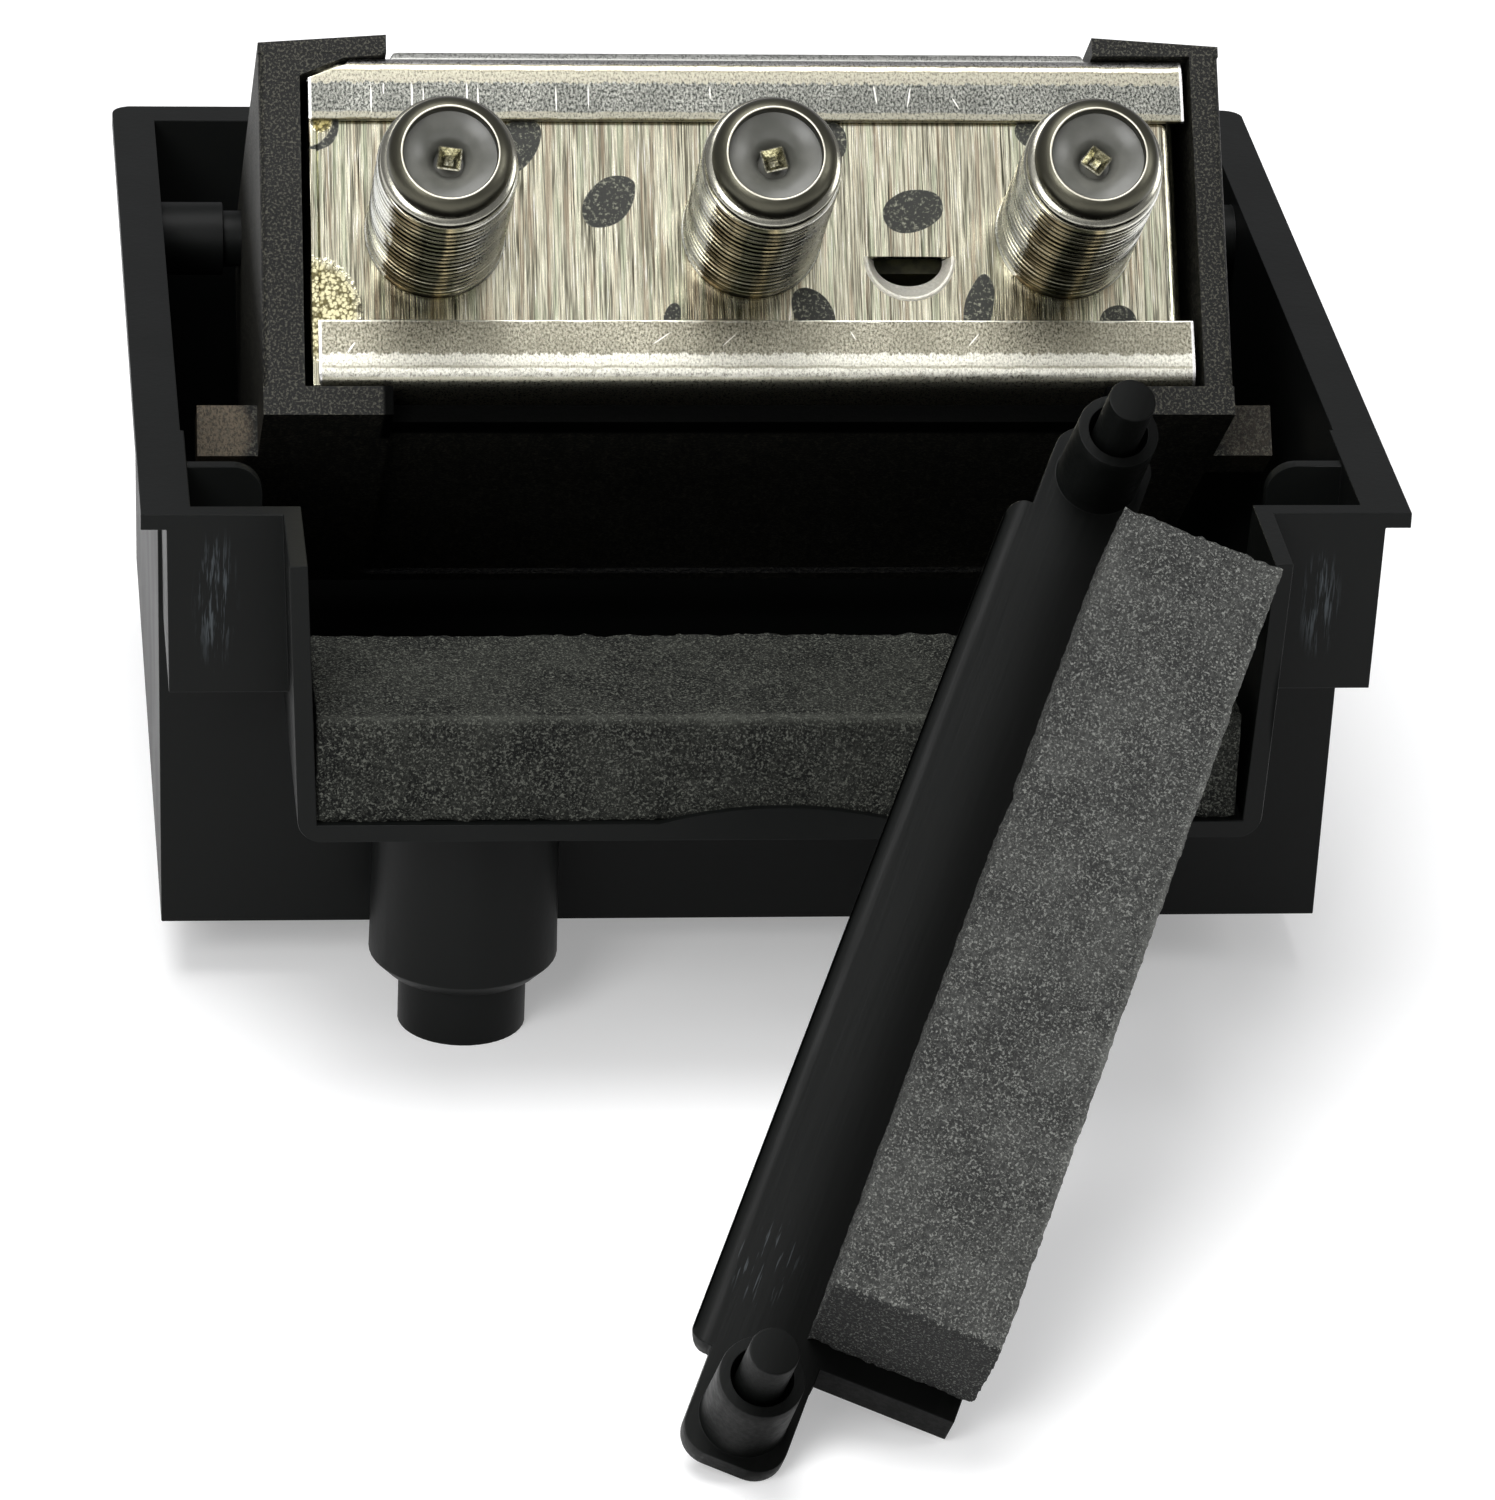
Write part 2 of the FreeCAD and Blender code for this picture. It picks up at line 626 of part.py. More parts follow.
cores = joined("ferrite_cores", [
    carved("core_%d" % number,
           box("core_block_%d" % number, (across + " - core_width / 2", depth, "board_top"),
               ("core_width", "core_depth", "core_height")),
           [rod("core_hole_%d_%d" % (number, side), "y",
                (across + " + %d * core_width / 4" % side, depth + " - past", "board_top + core_height / 2"),
                "core_hole / 2", "core_depth + 2 * past") for side in (-1, 1)])
    for number, (across, depth) in enumerate((
        ("0", "board_front + contact_tail + core_depth / 2"),
        ("socket_pitch / 2", "board_front + contact_tail + core_depth")), start=1)])
discs = joined("disc_capacitors", [
    rod("disc_%d" % number, "x", (across, depth, "board_top + disc_dia / 2"), "disc_dia / 2", "disc_thick")
    for number, (across, depth) in enumerate((
        ("-socket_pitch - disc_thick / 2", "board_back - disc_dia"),
        ("-socket_pitch / 2", "board_back - disc_dia"),
        ("0", "board_back - disc_dia"),
        ("socket_pitch / 2", "board_back - disc_dia"),
        ("socket_pitch", "board_back - disc_dia")), start=1)])
transistor = box("transistor", ("-socket_pitch / 2 + disc_dia", "board_back - disc_dia * 3", "board_top"),
                 ("chip_width", "chip_width", "chip_height"))

# Clamp bar, built with its tubes pointing up and its pad towards +Y
plate = box("bar_plate", ("-bar_half", "-bar_back", "-bar_thick"),
            ("2 * bar_half", "bar_back + bar_front", "bar_thick"))
rim_block = box("bar_rim_block", ("-bar_half", "bar_rim_start", "-bar_thick - bar_rim_height"),
                ("2 * bar_half", "bar_front - bar_rim_start", "bar_rim_height + sunk"))
rim_hollow = box("bar_rim_hollow",
                 ("bar_rim - bar_half", "bar_rim_start + bar_rim", "-bar_thick - bar_rim_height - past"),
                 ("2 * bar_half - 2 * bar_rim", "bar_front - bar_rim_start - 2 * bar_rim",
                  "bar_rim_height + past"))
bar_rim = carved("bar_stiffener", rim_block, [rim_hollow])
wings = box("bar_wings", ("-wing_half", "-bar_back", "-bar_thick"),
            ("2 * wing_half", "bar_back + bar_rim_start", "bar_thick"))


def bar_end(sign, word):
    """Tab that drops in a slot, with the tube that stands on it."""
    far = value("tube_half + tab_end")
    tongue = box("tongue_" + word,
                 (span(sign, "bar_half - sunk", "tube_half + tab_end"), "-tab_width / 2", "-bar_thick"),
                 ("tube_half + tab_end - bar_half + sunk", "tab_width", "bar_thick"))
    tab = rounded("tab_" + word, tongue, "tab_round",
                  lambda edge: is_upright(edge) and abs(abs(middle(edge).x) - far) < 0.01)
    tube = cone("tube_" + word, "z", ("%d * tube_half" % sign, "0", "-bar_thick / 2"),
                "tube_dia / 2 + tube_draft", "tube_dia / 2", "tube_height + bar_thick / 2")
    return [tab, tube]


def tube_bore(sign, word):
    spot = "%d * tube_half" % sign
    return [rod("tube_bore_" + word, "z", (spot, "0", "tube_floor"), "tube_bore / 2", "tube_height"),
            rod("lock_seat_" + word, "z", (spot, "0", "0"), "lock_radius", "tube_height")]


bar_solid = joined("bar_solid", [plate, wings, bar_rim] + sides(bar_end))
clamp_bar = carved("clamp_bar", bar_solid, sides(tube_bore))
lock_pins = [rod("lock_pin_" + word, "z", ("%d * tube_half" % sign, "0", "0"), "lock_radius", "lock_length")
             for sign, word in ((-1, "upper"), (1, "lower"))]
bar_foam = box("bar_foam", ("pad_inset - bar_half", "pad_start", "0"),
               ("2 * bar_half - 2 * pad_inset", "pad_width", "pad_thick"))
doc.recompute()

# Places: the box stands as built, the drawer is swung open, the bar stands on the table
swing = FreeCAD.Rotation(FreeCAD.Vector(1, 0, 0), -value("open_angle"))
pivot = FreeCAD.Vector(0, value("pivot_y"), value("pivot_z"))
to_pivot = FreeCAD.Vector(0, -value("pivot_behind_face"), -value("pivot_above_middle"))
opened = FreeCAD.Placement(pivot + swing.multVec(to_pivot), swing)
in_drawer = opened.multiply(FreeCAD.Placement(FreeCAD.Vector(value("module_middle"), 0, 0),
                                              FreeCAD.Rotation()))

bar_turn = FreeCAD.Rotation(value("bar_yaw"), value("bar_pitch"), value("bar_roll"))
bar_shape = clamp_bar.Shape.copy()
bar_shape.Placement = FreeCAD.Placement(FreeCAD.Vector(), bar_turn)
bar_lift = -bar_shape.optimalBoundingBox(False, False).ZMin
leaning = bar_turn.multVec(FreeCAD.Vector(-value("bar_half"), value("bar_front"), -value("bar_thick")))
lean_drop = value("rim") - bar_lift - leaning.z
wall_x = value("half_mouth") - value("mouth_taper") * lean_drop / value("mouth_depth")
stood = FreeCAD.Placement(FreeCAD.Vector(wall_x - value("lean_gap") - leaning.x,
                                         value("mouth_front + lean_reach") - leaning.y, bar_lift), bar_turn)

box_pieces = [housing, lower_foam]
module_pieces = [shield_frame, cover_top, cover_bottom, board, coils, cores, discs, transistor] + sockets
bar_pieces = [clamp_bar, bar_foam] + lock_pins


def node(name, piece, placement):
    """Finished piece under its own name, turned to its place."""
    piece.Label = name + " as made"
    item = doc.addObject("Part::Compound", name + "_node")
    item.Label = name
    item.Links = [piece]
    item.Placement = placement
    return item


home = FreeCAD.Placement()
nodes = [node(piece.Name, piece, placement)
         for placement, pieces in ((home, box_pieces), (opened, [drawer_frame]),
                                   (in_drawer, module_pieces), (stood, bar_pieces))
         for piece in pieces]
doc.recompute()

for item in doc.Objects:
    if "Invalid" in item.State or "Error" in item.State:
        raise RuntimeError("failed: " + item.Name)
for item in nodes:
    if item.Shape.isNull() or not item.Shape.isValid():
        raise RuntimeError("bad shape: " + item.Label)
os.makedirs("parts", exist_ok=True)
for item in nodes:
    item.Shape.exportStep("parts/" + item.Label + ".step")
    print(item.Label, len(item.Shape.Solids), round(item.Shape.Volume, 1))
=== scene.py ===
import math

import bmesh
import bpy
from mathutils import Matrix, Vector, noise


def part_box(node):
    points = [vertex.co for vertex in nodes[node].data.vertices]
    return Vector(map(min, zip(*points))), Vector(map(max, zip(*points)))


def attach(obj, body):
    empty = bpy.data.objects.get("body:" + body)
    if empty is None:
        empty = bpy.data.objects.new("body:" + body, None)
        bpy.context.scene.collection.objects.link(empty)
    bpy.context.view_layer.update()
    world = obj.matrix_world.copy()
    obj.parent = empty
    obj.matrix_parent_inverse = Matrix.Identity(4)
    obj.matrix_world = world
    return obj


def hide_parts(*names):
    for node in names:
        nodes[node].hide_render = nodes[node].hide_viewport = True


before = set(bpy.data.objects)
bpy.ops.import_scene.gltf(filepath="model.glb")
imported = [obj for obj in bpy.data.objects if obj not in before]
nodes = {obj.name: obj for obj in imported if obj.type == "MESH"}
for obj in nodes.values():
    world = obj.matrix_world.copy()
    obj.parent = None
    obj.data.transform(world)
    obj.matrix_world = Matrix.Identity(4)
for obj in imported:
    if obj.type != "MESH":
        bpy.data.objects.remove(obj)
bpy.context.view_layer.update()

MM = 0.001

# Camera: where the photograph was taken from, 53 cm off, a little left of the middle and
# 25 degrees above the table. The lens is long, so the box hardly narrows with depth.
PHOTO_SIZE = (1495, 1500)
FOCAL_PIXELS = 7976.4
SENSOR = 36.0
CAMERA_AZIMUTH = math.radians(-6.654)
CAMERA_RISE = math.radians(25.141)
CAMERA_ROLL = math.radians(2.578)
CAMERA_AIM = Vector((1.947, 23.7, 8.656)) * MM
CAMERA_DISTANCE = 559.13 * MM

backward = Vector((math.sin(CAMERA_AZIMUTH) * math.cos(CAMERA_RISE),
                   -math.cos(CAMERA_AZIMUTH) * math.cos(CAMERA_RISE),
                   math.sin(CAMERA_RISE)))
level_right = (-backward).cross(Vector((0, 0, 1))).normalized()
level_up = level_right.cross(-backward)
tilted_right = math.cos(CAMERA_ROLL) * level_right + math.sin(CAMERA_ROLL) * level_up
tilted_up = math.cos(CAMERA_ROLL) * level_up - math.sin(CAMERA_ROLL) * level_right
camera_turn = Matrix((tilted_right, tilted_up, backward)).transposed().to_4x4()
lens = bpy.data.cameras.new("camera")
lens.sensor_width = SENSOR
lens.lens = FOCAL_PIXELS / max(PHOTO_SIZE) * SENSOR
lens.clip_start = 0.01


def added(name, data):
    """New object in the scene."""
    item = bpy.data.objects.new(name, data)
    bpy.context.scene.collection.objects.link(item)
    return item


camera = added("camera", lens)
camera.matrix_world = Matrix.Translation(CAMERA_AIM + backward * CAMERA_DISTANCE) @ camera_turn
bpy.context.scene.camera = camera
bpy.context.scene.view_settings.view_transform = "Standard"


# Floor: a plain pale table that the box stands on with its two posts. It keeps the soft
# shadow, and a little light of its own, seen only by the camera and in gloss, turns it white.
FLOOR_HALF = 4.0
FLOOR_COLOR = (0.8, 0.8, 0.8, 1)
FLOOR_GLOW = 0.3


def wire(tree, kind, inputs=None, **settings):
    """New node with its settings, and each input linked or set by name or number."""
    item = tree.nodes.new(kind)
    for key, choice in settings.items():
        setattr(item, key, choice)
    for key, source in (inputs or {}).items():
        socket = item.inputs[key]
        if isinstance(source, bpy.types.NodeSocket):
            tree.links.new(source, socket)
        else:
            socket.default_value = source
    return item


def blank_material(name):
    material = bpy.data.materials.new(name)
    material.use_nodes = True
    material.node_tree.nodes.clear()
    return material, material.node_tree


floor_mesh = bpy.data.meshes.new("floor")
floor_mesh.from_pydata([(x * FLOOR_HALF, y * FLOOR_HALF, 0)
                        for x, y in ((-1, -1), (1, -1), (1, 1), (-1, 1))], [], [(0, 1, 2, 3)])
floor = added("floor", floor_mesh)
floor_paint, tree = blank_material("floor_paint")
ray = wire(tree, "ShaderNodeLightPath")
seen = wire(tree, "ShaderNodeMath",
            {0: ray.outputs["Is Camera Ray"], 1: ray.outputs["Is Glossy Ray"]}, operation="MAXIMUM")
seen = wire(tree, "ShaderNodeMath", {0: seen.outputs[0], 1: ray.outputs["Is Transmission Ray"]},
            operation="MAXIMUM")
glow = wire(tree, "ShaderNodeMath", {0: seen.outputs[0], 1: FLOOR_GLOW}, operation="MULTIPLY")
paint = wire(tree, "ShaderNodeBsdfDiffuse", {"Color": FLOOR_COLOR})
light = wire(tree, "ShaderNodeEmission", {"Color": (1, 1, 1, 1), "Strength": glow.outputs[0]})
both = wire(tree, "ShaderNodeAddShader", {0: paint.outputs[0], 1: light.outputs[0]})
wire(tree, "ShaderNodeOutputMaterial", {"Surface": both.outputs[0]})
floor_mesh.materials.append(floor_paint)

# Light: an even grey room, a wide soft panel overhead, a smaller one by the camera, a weak
# one on the right, and a large dim card above the camera that the bright metal mirrors
ROOM_COLOR = (0.36, 0.36, 0.37, 1)
LAMPS = [("overhead", (-0.15, -0.05, 1.1), 0.8, 9.0),
         ("front", (-0.45, -0.85, 0.62), 0.45, 5.0),
         ("right", (0.8, -0.3, 0.5), 0.4, 2.0),
         ("card", (-0.22, -0.66, 0.8), 1.25, 2.3)]
LAMP_AIM = Vector((0, 0.02, 0.03))

room = bpy.data.worlds.new("room")
room.use_nodes = True
tree = room.node_tree
ray = wire(tree, "ShaderNodeLightPath")
shade = wire(tree, "ShaderNodeMix",
             {0: ray.outputs["Is Camera Ray"], 6: ROOM_COLOR, 7: (1, 1, 1, 1)}, data_type="RGBA")
tree.links.new(shade.outputs[2], tree.nodes["Background"].inputs["Color"])
bpy.context.scene.world = room
for name, spot, width, watts in LAMPS:
    lamp = bpy.data.lights.new(name, "AREA")
    lamp.shape = "DISK"
    lamp.size = width
    lamp.energy = watts
    aim = (Vector(spot) - LAMP_AIM).to_track_quat("Z", "Y").to_matrix().to_4x4()
    added(name, lamp).matrix_world = Matrix.Translation(spot) @ aim

# Box: the mast housing, injection moulded in black plastic with a satin face. The flange
# runs round three sides, the trough in front lets the cables out, and the posts take the
# mast screws. Its edges are slightly broken, and its two columns are scuffed in front.
EDGE_BREAK = 0.08 * MM
LEFT_SCUFF = ((-36.7, -6.3, 33.8), (1.7, 3.0, 5.8), 0.7)
RIGHT_SCUFF = ((35.9, -6.3, 33.4), (1.6, 3.0, 4.6), 0.7)
SHADED_INNER_WALL = ((32.3, -9.0, 29.0), (1.3, 7.5, 8.0), 0.2)


def mesh_of(name, shape):
    mesh = bpy.data.meshes.new(name)
    shape.to_mesh(mesh)
    shape.free()
    return mesh


def settled(item):
    """The object's mesh with its modifiers carried out."""
    return bpy.data.meshes.new_from_object(item.evaluated_get(bpy.context.evaluated_depsgraph_get()))


def whole_copy(node):
    """CAD node with its loose triangles merged and its flat faces made whole."""
    shape = bmesh.new()
    shape.from_mesh(nodes[node].data)
    bmesh.ops.remove_doubles(shape, verts=shape.verts, dist=0.002 * MM)
    bmesh.ops.dissolve_limit(shape, angle_limit=math.radians(0.4), verts=shape.verts, edges=shape.edges)
    return shape


def piece_from(name, shape, body, material, edge=0.0, edge_steps=2, smooth_angle=32):
    """Object on a body, its sharp edges broken by a small bevel, shaded by its flat faces."""
    mesh = mesh_of(name, shape)
    mesh.materials.append(material)
    piece = added(name, mesh)
    if edge:
        bevel = piece.modifiers.new("edges", "BEVEL")
        bevel.width = edge
        bevel.segments = edge_steps
        bevel.limit_method = "ANGLE"
        bevel.angle_limit = math.radians(smooth_angle)
        bevel.use_clamp_overlap = False
        whole = settled(piece)
        piece.modifiers.clear()
        piece.data = whole
        whole.name = name
    piece.data.shade_smooth()
    piece.data.set_sharp_from_angle(angle=math.radians(smooth_angle))
    weigh = piece.modifiers.new("flat_faces", "WEIGHTED_NORMAL")
    weigh.keep_sharp = True
    whole = settled(piece)
    piece.modifiers.clear()
    piece.data = whole
    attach(piece, body)
    return piece


def own_material(name, place=Matrix.Identity(4)):
    """New material, its nodes, and the point on a piece in millimetres in the piece's own frame."""
    material, tree = blank_material(name)
    spot = wire(tree, "ShaderNodeTexCoord")
    spot = wire(tree, "ShaderNodeMapping",
                {"Vector": spot.outputs["Object"], "Location": place.to_translation(),
                 "Rotation": place.to_euler(), "Scale": (MM, MM, MM)}, vector_type="TEXTURE")
    return material, tree, spot.outputs[0]


def vector_of(tree, first, second, kind):
    return wire(tree, "ShaderNodeVectorMath", {0: first, 1: second}, operation=kind).outputs[0]


def stretched(tree, place, stretch):
    return vector_of(tree, place, stretch, "MULTIPLY")


def grain(tree, place, scale, detail=2.0, roughness=0.5):
    return wire(tree, "ShaderNodeTexNoise", {"Vector": place, "Scale": scale, "Detail": detail,
                                             "Roughness": roughness}).outputs["Fac"]


def ramp(tree, source, low, high, to_low=0.0, to_high=1.0):
    """Smooth step from one value to another as the source goes from low to high."""
    item = wire(tree, "ShaderNodeMapRange", {"Value": source, "From Min": low, "From Max": high,
                                             "To Min": to_low, "To Max": to_high},
                interpolation_type="SMOOTHSTEP")
    return item.outputs["Result"]


def axes_of(tree, place):
    return wire(tree, "ShaderNodeSeparateXYZ", {0: place}).outputs


def sum_of(tree, first, second, kind="ADD"):
    """Two values joined by a sum, or by another kind of arithmetic."""
    return wire(tree, "ShaderNodeMath", {0: first, 1: second}, operation=kind).outputs[0]


def product_of(tree, first, second):
    return sum_of(tree, first, second, "MULTIPLY")


def tint(tree, factor, low, high):
    """Colour between two colours."""
    item = wire(tree, "ShaderNodeMix", {0: factor}, data_type="RGBA")
    for number, color in ((6, low), (7, high)):
        if isinstance(color, bpy.types.NodeSocket):
            tree.links.new(color, item.inputs[number])
        else:
            item.inputs[number].default_value = (*color, 1)
    return item.outputs[2]


def bump(tree, height, distance, strength=1.0, below=None):
    inputs = {"Height": height, "Distance": distance, "Strength": strength}
    if below is not None:
        inputs["Normal"] = below
    return wire(tree, "ShaderNodeBump", inputs).outputs[0]


def surface(tree, color, roughness, normal, **others):
    """Principled surface, with its fixed values set on the shader itself."""
    inputs = {"Base Color": color, "Roughness": roughness, "Normal": normal}
    inputs.update((key.replace("_", " "), source) for key, source in others.items())
    shader = wire(tree, "ShaderNodeBsdfPrincipled", inputs)
    wire(tree, "ShaderNodeOutputMaterial", {"Surface": shader.outputs[0]})


def patch(tree, place, centre, half, soft):
    """1 inside a soft-edged block round a centre, 0 outside."""
    away = vector_of(tree, vector_of(tree, place, centre, "SUBTRACT"), half, "DIVIDE")
    away = wire(tree, "ShaderNodeVectorMath", {0: away}, operation="LENGTH").outputs["Value"]
    return ramp(tree, away, 1.0 - soft, 1.0, 1.0, 0.0)


black_plastic, tree, place = own_material("black_plastic")
cloud = grain(tree, place, 0.12, 3)
peel = grain(tree, place, 2.2, 2)
rubbed = grain(tree, stretched(tree, place, (3.0, 3.0, 0.25)), 1.3, 3, 0.7)
scuffs = ramp(tree, rubbed, 0.5, 0.66)
where = sum_of(tree, patch(tree, place, *LEFT_SCUFF), patch(tree, place, *RIGHT_SCUFF))
worn = product_of(tree, scuffs, where)
color = tint(tree, cloud, (0.0030, 0.0036, 0.0034), (0.0050, 0.0055, 0.0051))
color = tint(tree, worn, color, (0.055, 0.063, 0.068))
gloss = ramp(tree, cloud, 0.3, 0.7, 0.42, 0.47)
gloss = sum_of(tree, gloss, product_of(tree, worn, 0.12))
normal = bump(tree, peel, 0.02 * MM, 0.5)
normal = bump(tree, worn, 0.05 * MM, 0.6, normal)
# Painted shade on the inner face of the right mouth wall: a lower specular level there makes it darker.
inner_wall_shade = patch(tree, place, *SHADED_INNER_WALL)
surface(tree, color, gloss, normal,
        Specular_IOR_Level=ramp(tree, inner_wall_shade, 0.0, 1.0, 0.115, 0.03))

housing = piece_from("housing_body", whole_copy("housing_shell"), "housing", black_plastic,
                     EDGE_BREAK)
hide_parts("housing_shell")


# Lower cable seal: a block of charcoal open-cell foam, sawn to size, that lies on the floor
# of the trough. Its front edge is rubbed pale and its right end is torn.
LOWER_CELL = 0.3
LOWER_SPREAD = Vector((0.35, 0.25, 0.12))
RUBBED_EDGE = ((0, -13.9, 28.8), (60, 0.8, 0.8), 0.9)


def set_in(shape, place):
    """From millimetres in a piece's own frame to metres in the final frame."""
    shape.transform(Matrix.Scale(MM, 4))
    shape.transform(place)


def foam_block(size, low, cell, place, tear):
    """Closed block with a fine mesh, its faces pitted and its edges crumbled by noise."""
    counts = [max(2, round(length / cell)) for length in size]
    shape = bmesh.new()
    corner = {}

    def at(index):
        if index not in corner:
            spot = Vector(low[k] + size[k] * index[k] / counts[k] for k in range(3))
            corner[index] = shape.verts.new(spot)
        return corner[index]

    for axis in range(3):
        across, along = (axis + 1) % 3, (axis + 2) % 3
        for end in (0, counts[axis]):
            for i in range(counts[across]):
                for j in range(counts[along]):
                    loop = []
                    for di, dj in ((0, 0), (1, 0), (1, 1), (0, 1)):
                        index = [0, 0, 0]
                        index[axis], index[across], index[along] = end, i + di, j + dj
                        loop.append(at(tuple(index)))
                    shape.faces.new(loop if end else loop[::-1])
    middle = Vector(low[k] + size[k] / 2 for k in range(3))
    half = Vector(size) / 2
    for index, vertex in corner.items():
        away = vertex.co - middle
        near = [half[k] - abs(away[k]) for k in range(3)]
        faces_met = sum(1 for gap in near if gap < 1e-6)
        inward = Vector(-math.copysign(1, away[k]) if near[k] < 1e-6 else 0 for k in range(3))
        crumble = 0.05 + 0.09 * noise.noise(vertex.co * 1.7) + 0.09 * noise.noise(vertex.co * 4.3)
        crumble += 0.12 * max(0.0, noise.noise(vertex.co * 0.45))
        if faces_met > 1:
            crumble += 0.03 + 0.16 * max(0.0, noise.noise(vertex.co * 0.9 + Vector((7, 0, 0))))
        vertex.co += inward * (max(0.0, crumble) + tear(vertex.co, inward))
    set_in(shape, place)
    return shape


def foam_finish(name, pale, dark, place, lift):
    """Open cells a third of a millimetre wide: bright struts round dark pits."""
    material, tree, spot = own_material(name, place)
    cells, fine = (wire(tree, "ShaderNodeTexVoronoi", {"Vector": spot, "Scale": scale})
                   .outputs["Distance"] for scale in (2.6, 5.2))
    speck = grain(tree, spot, 6.2, 2, 0.75)
    cloud = grain(tree, spot, 0.22, 3)
    struts = product_of(tree, ramp(tree, cells, 0.1, 0.75), ramp(tree, fine, 0.1, 0.8))
    shade = sum_of(tree, product_of(tree, struts, 0.2), ramp(tree, speck, 0.52, 0.62))
    shade = sum_of(tree, shade, ramp(tree, cloud, 0.3, 0.7, -0.04, 0.08))
    shade = sum_of(tree, shade, lift(tree, spot))
    color = tint(tree, shade, dark, pale)
    normal = bump(tree, shade, 0.18 * MM, 0.8)
    surface(tree, color, ramp(tree, shade, 0.0, 1.0, 0.95, 0.7), normal, Specular_IOR_Level=0.25)
    return material


def lower_edge_lift(tree, spot):
    """The rubbed edge between the top and the front."""
    return product_of(tree, patch(tree, spot, *RUBBED_EDGE), 0.22)


def lower_tear(spot, inward):
    if inward.x < 0:
        return 0.35 + 0.9 * max(0.0, noise.noise(Vector((3, spot.y * 0.25, spot.z * 0.5))) + 0.25)
    return 0.0


low, high = (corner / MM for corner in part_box("lower_foam"))
low -= LOWER_SPREAD
lower_foam = piece_from("lower_seal",
                        foam_block(high - low, low, LOWER_CELL, Matrix.Identity(4), lower_tear),
                        "housing",
                        foam_finish("charcoal_foam", (0.105, 0.11, 0.093), (0.0006, 0.001, 0.0006),
                                    Matrix.Identity(4), lower_edge_lift), smooth_angle=75)
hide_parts("lower_foam")

# Drawer frame: a moulded tray whose two cheeks hold the module by C-shaped lips. It turns
# on the box's two pins. Its faces have the coarse grain of a spark-eroded mould.
OPEN_ANGLE = math.radians(40.1)
PIVOT = Vector((0, 51.2, 36.16)) * MM
PIVOT_IN_DRAWER = Vector((0, 31.1, 9.6)) * MM
LUG_ACROSS, LUG_HALF = 36.0, (3.2, 4.0, 3.2)
drawer_place = (Matrix.Translation(PIVOT) @ Matrix.Rotation(-OPEN_ANGLE, 4, "X")
                @ Matrix.Translation(-PIVOT_IN_DRAWER))

grained_plastic, tree, place = own_material("grained_plastic", drawer_place)
cloud = grain(tree, place, 0.15, 3)
sparks = grain(tree, place, 5.2, 3, 0.7)
pips = ramp(tree, sparks, 0.51, 0.6)
axes = axes_of(tree, place)
# Painted shade on the tray's sill under the module: near black, without the spark pips, and with little
# gloss.
away = wire(tree, "ShaderNodeMath", {0: axes["X"]}, operation="ABSOLUTE").outputs[0]
shaded_sill = product_of(tree, ramp(tree, away, 25.0, 24.6), ramp(tree, axes["Z"], -9.0, -10.0))
shaded_sill = product_of(tree, shaded_sill, ramp(tree, axes["Y"], 6.0, 5.0))
pips = product_of(tree, pips, ramp(tree, shaded_sill, 0.0, 1.0, 1.0, 0.0))
color = tint(tree, pips, (0.0030, 0.0032, 0.0026), (0.062, 0.060, 0.046))
color = tint(tree, shaded_sill, color, (0.0012, 0.0013, 0.0012))
# Painted highlight in tan on the left lug, streaked by a fine grain; the right lug gets a quarter of it,
# as it stands in painted shade.
left_lug_highlight, right_lug_highlight = (patch(tree, place, (side * LUG_ACROSS, 10.0, -11.4), LUG_HALF, 0.3)
                       for side in (-1, 1))
lug_highlights = sum_of(tree, left_lug_highlight, product_of(tree, right_lug_highlight, 0.25))
fine = grain(tree, stretched(tree, place, (1.0, 1.0, 0.6)), 9.0, 2, 0.7)
color = tint(tree, product_of(tree, lug_highlights, ramp(tree, fine, 0.4, 0.6, 0.3, 1.0)),
             color, (0.125, 0.10, 0.068))
normal = bump(tree, sparks, 0.06 * MM, 0.9)
surface(tree, color, ramp(tree, cloud, 0.3, 0.7, 0.54, 0.6), normal,
        Specular_IOR_Level=ramp(tree, shaded_sill, 0.0, 1.0, 0.22, 0.02))

# The small web in the tray's upper left corner, in X and Z
GUSSET = [(-30.4, 12.6), (-30.4, 10.7), (-29.5, 11.1), (-27.0, 12.12), (-24.4, 12.34), (-24.4, 12.6)]
GUSSET_DEPTH = (0.03, 2.2)


def prism(shape, outline, depth_low, depth_high):
    """Closed block along Y with a given outline in X and Z."""
    rings = [[shape.verts.new((x, depth, z)) for x, z in outline] for depth in (depth_low, depth_high)]
    sides = [shape.faces.new(rings[0]), shape.faces.new(rings[1])]
    for number in range(len(outline)):
        after = (number + 1) % len(outline)
        sides.append(shape.faces.new((rings[0][number], rings[0][after],
                                      rings[1][after], rings[1][number])))
    bmesh.ops.recalc_face_normals(shape, faces=sides)


tray_shape = whole_copy("drawer_frame")
gusset = bmesh.new()
prism(gusset, GUSSET, *GUSSET_DEPTH)
set_in(gusset, drawer_place)
tray_shape.from_mesh(mesh_of("gusset", gusset))
drawer = piece_from("drawer_tray", tray_shape, "drawer", grained_plastic)
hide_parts("drawer_frame")

# Module frame: a strip of tin plate bent into a square, its front pierced for the three
# sockets and for a D-shaped hole with a pressed rim. The front was brushed up and down, then
# soldered at its left end, which left flux. Dark dabs of lacquer mark the fixing points.
MODULE_MIDDLE = 0.4
HALF_CAN = 29.9
FRAME_ENDS = (-29.85, 29.25)
CAN_DEPTH = 38.28
CAN_LOW, CAN_HIGH = -11.05, 12.35
SHEET = 0.5
FRAME_BEND = 1.1
PANEL_RECESS = 0.6
SOCKET_PITCH = 21.45
SOCKET_HOLE = 4.78
D_SIDE, D_DOWN, D_RADIUS, D_HALF = 10.7, -1.8, 2.87, 2.85
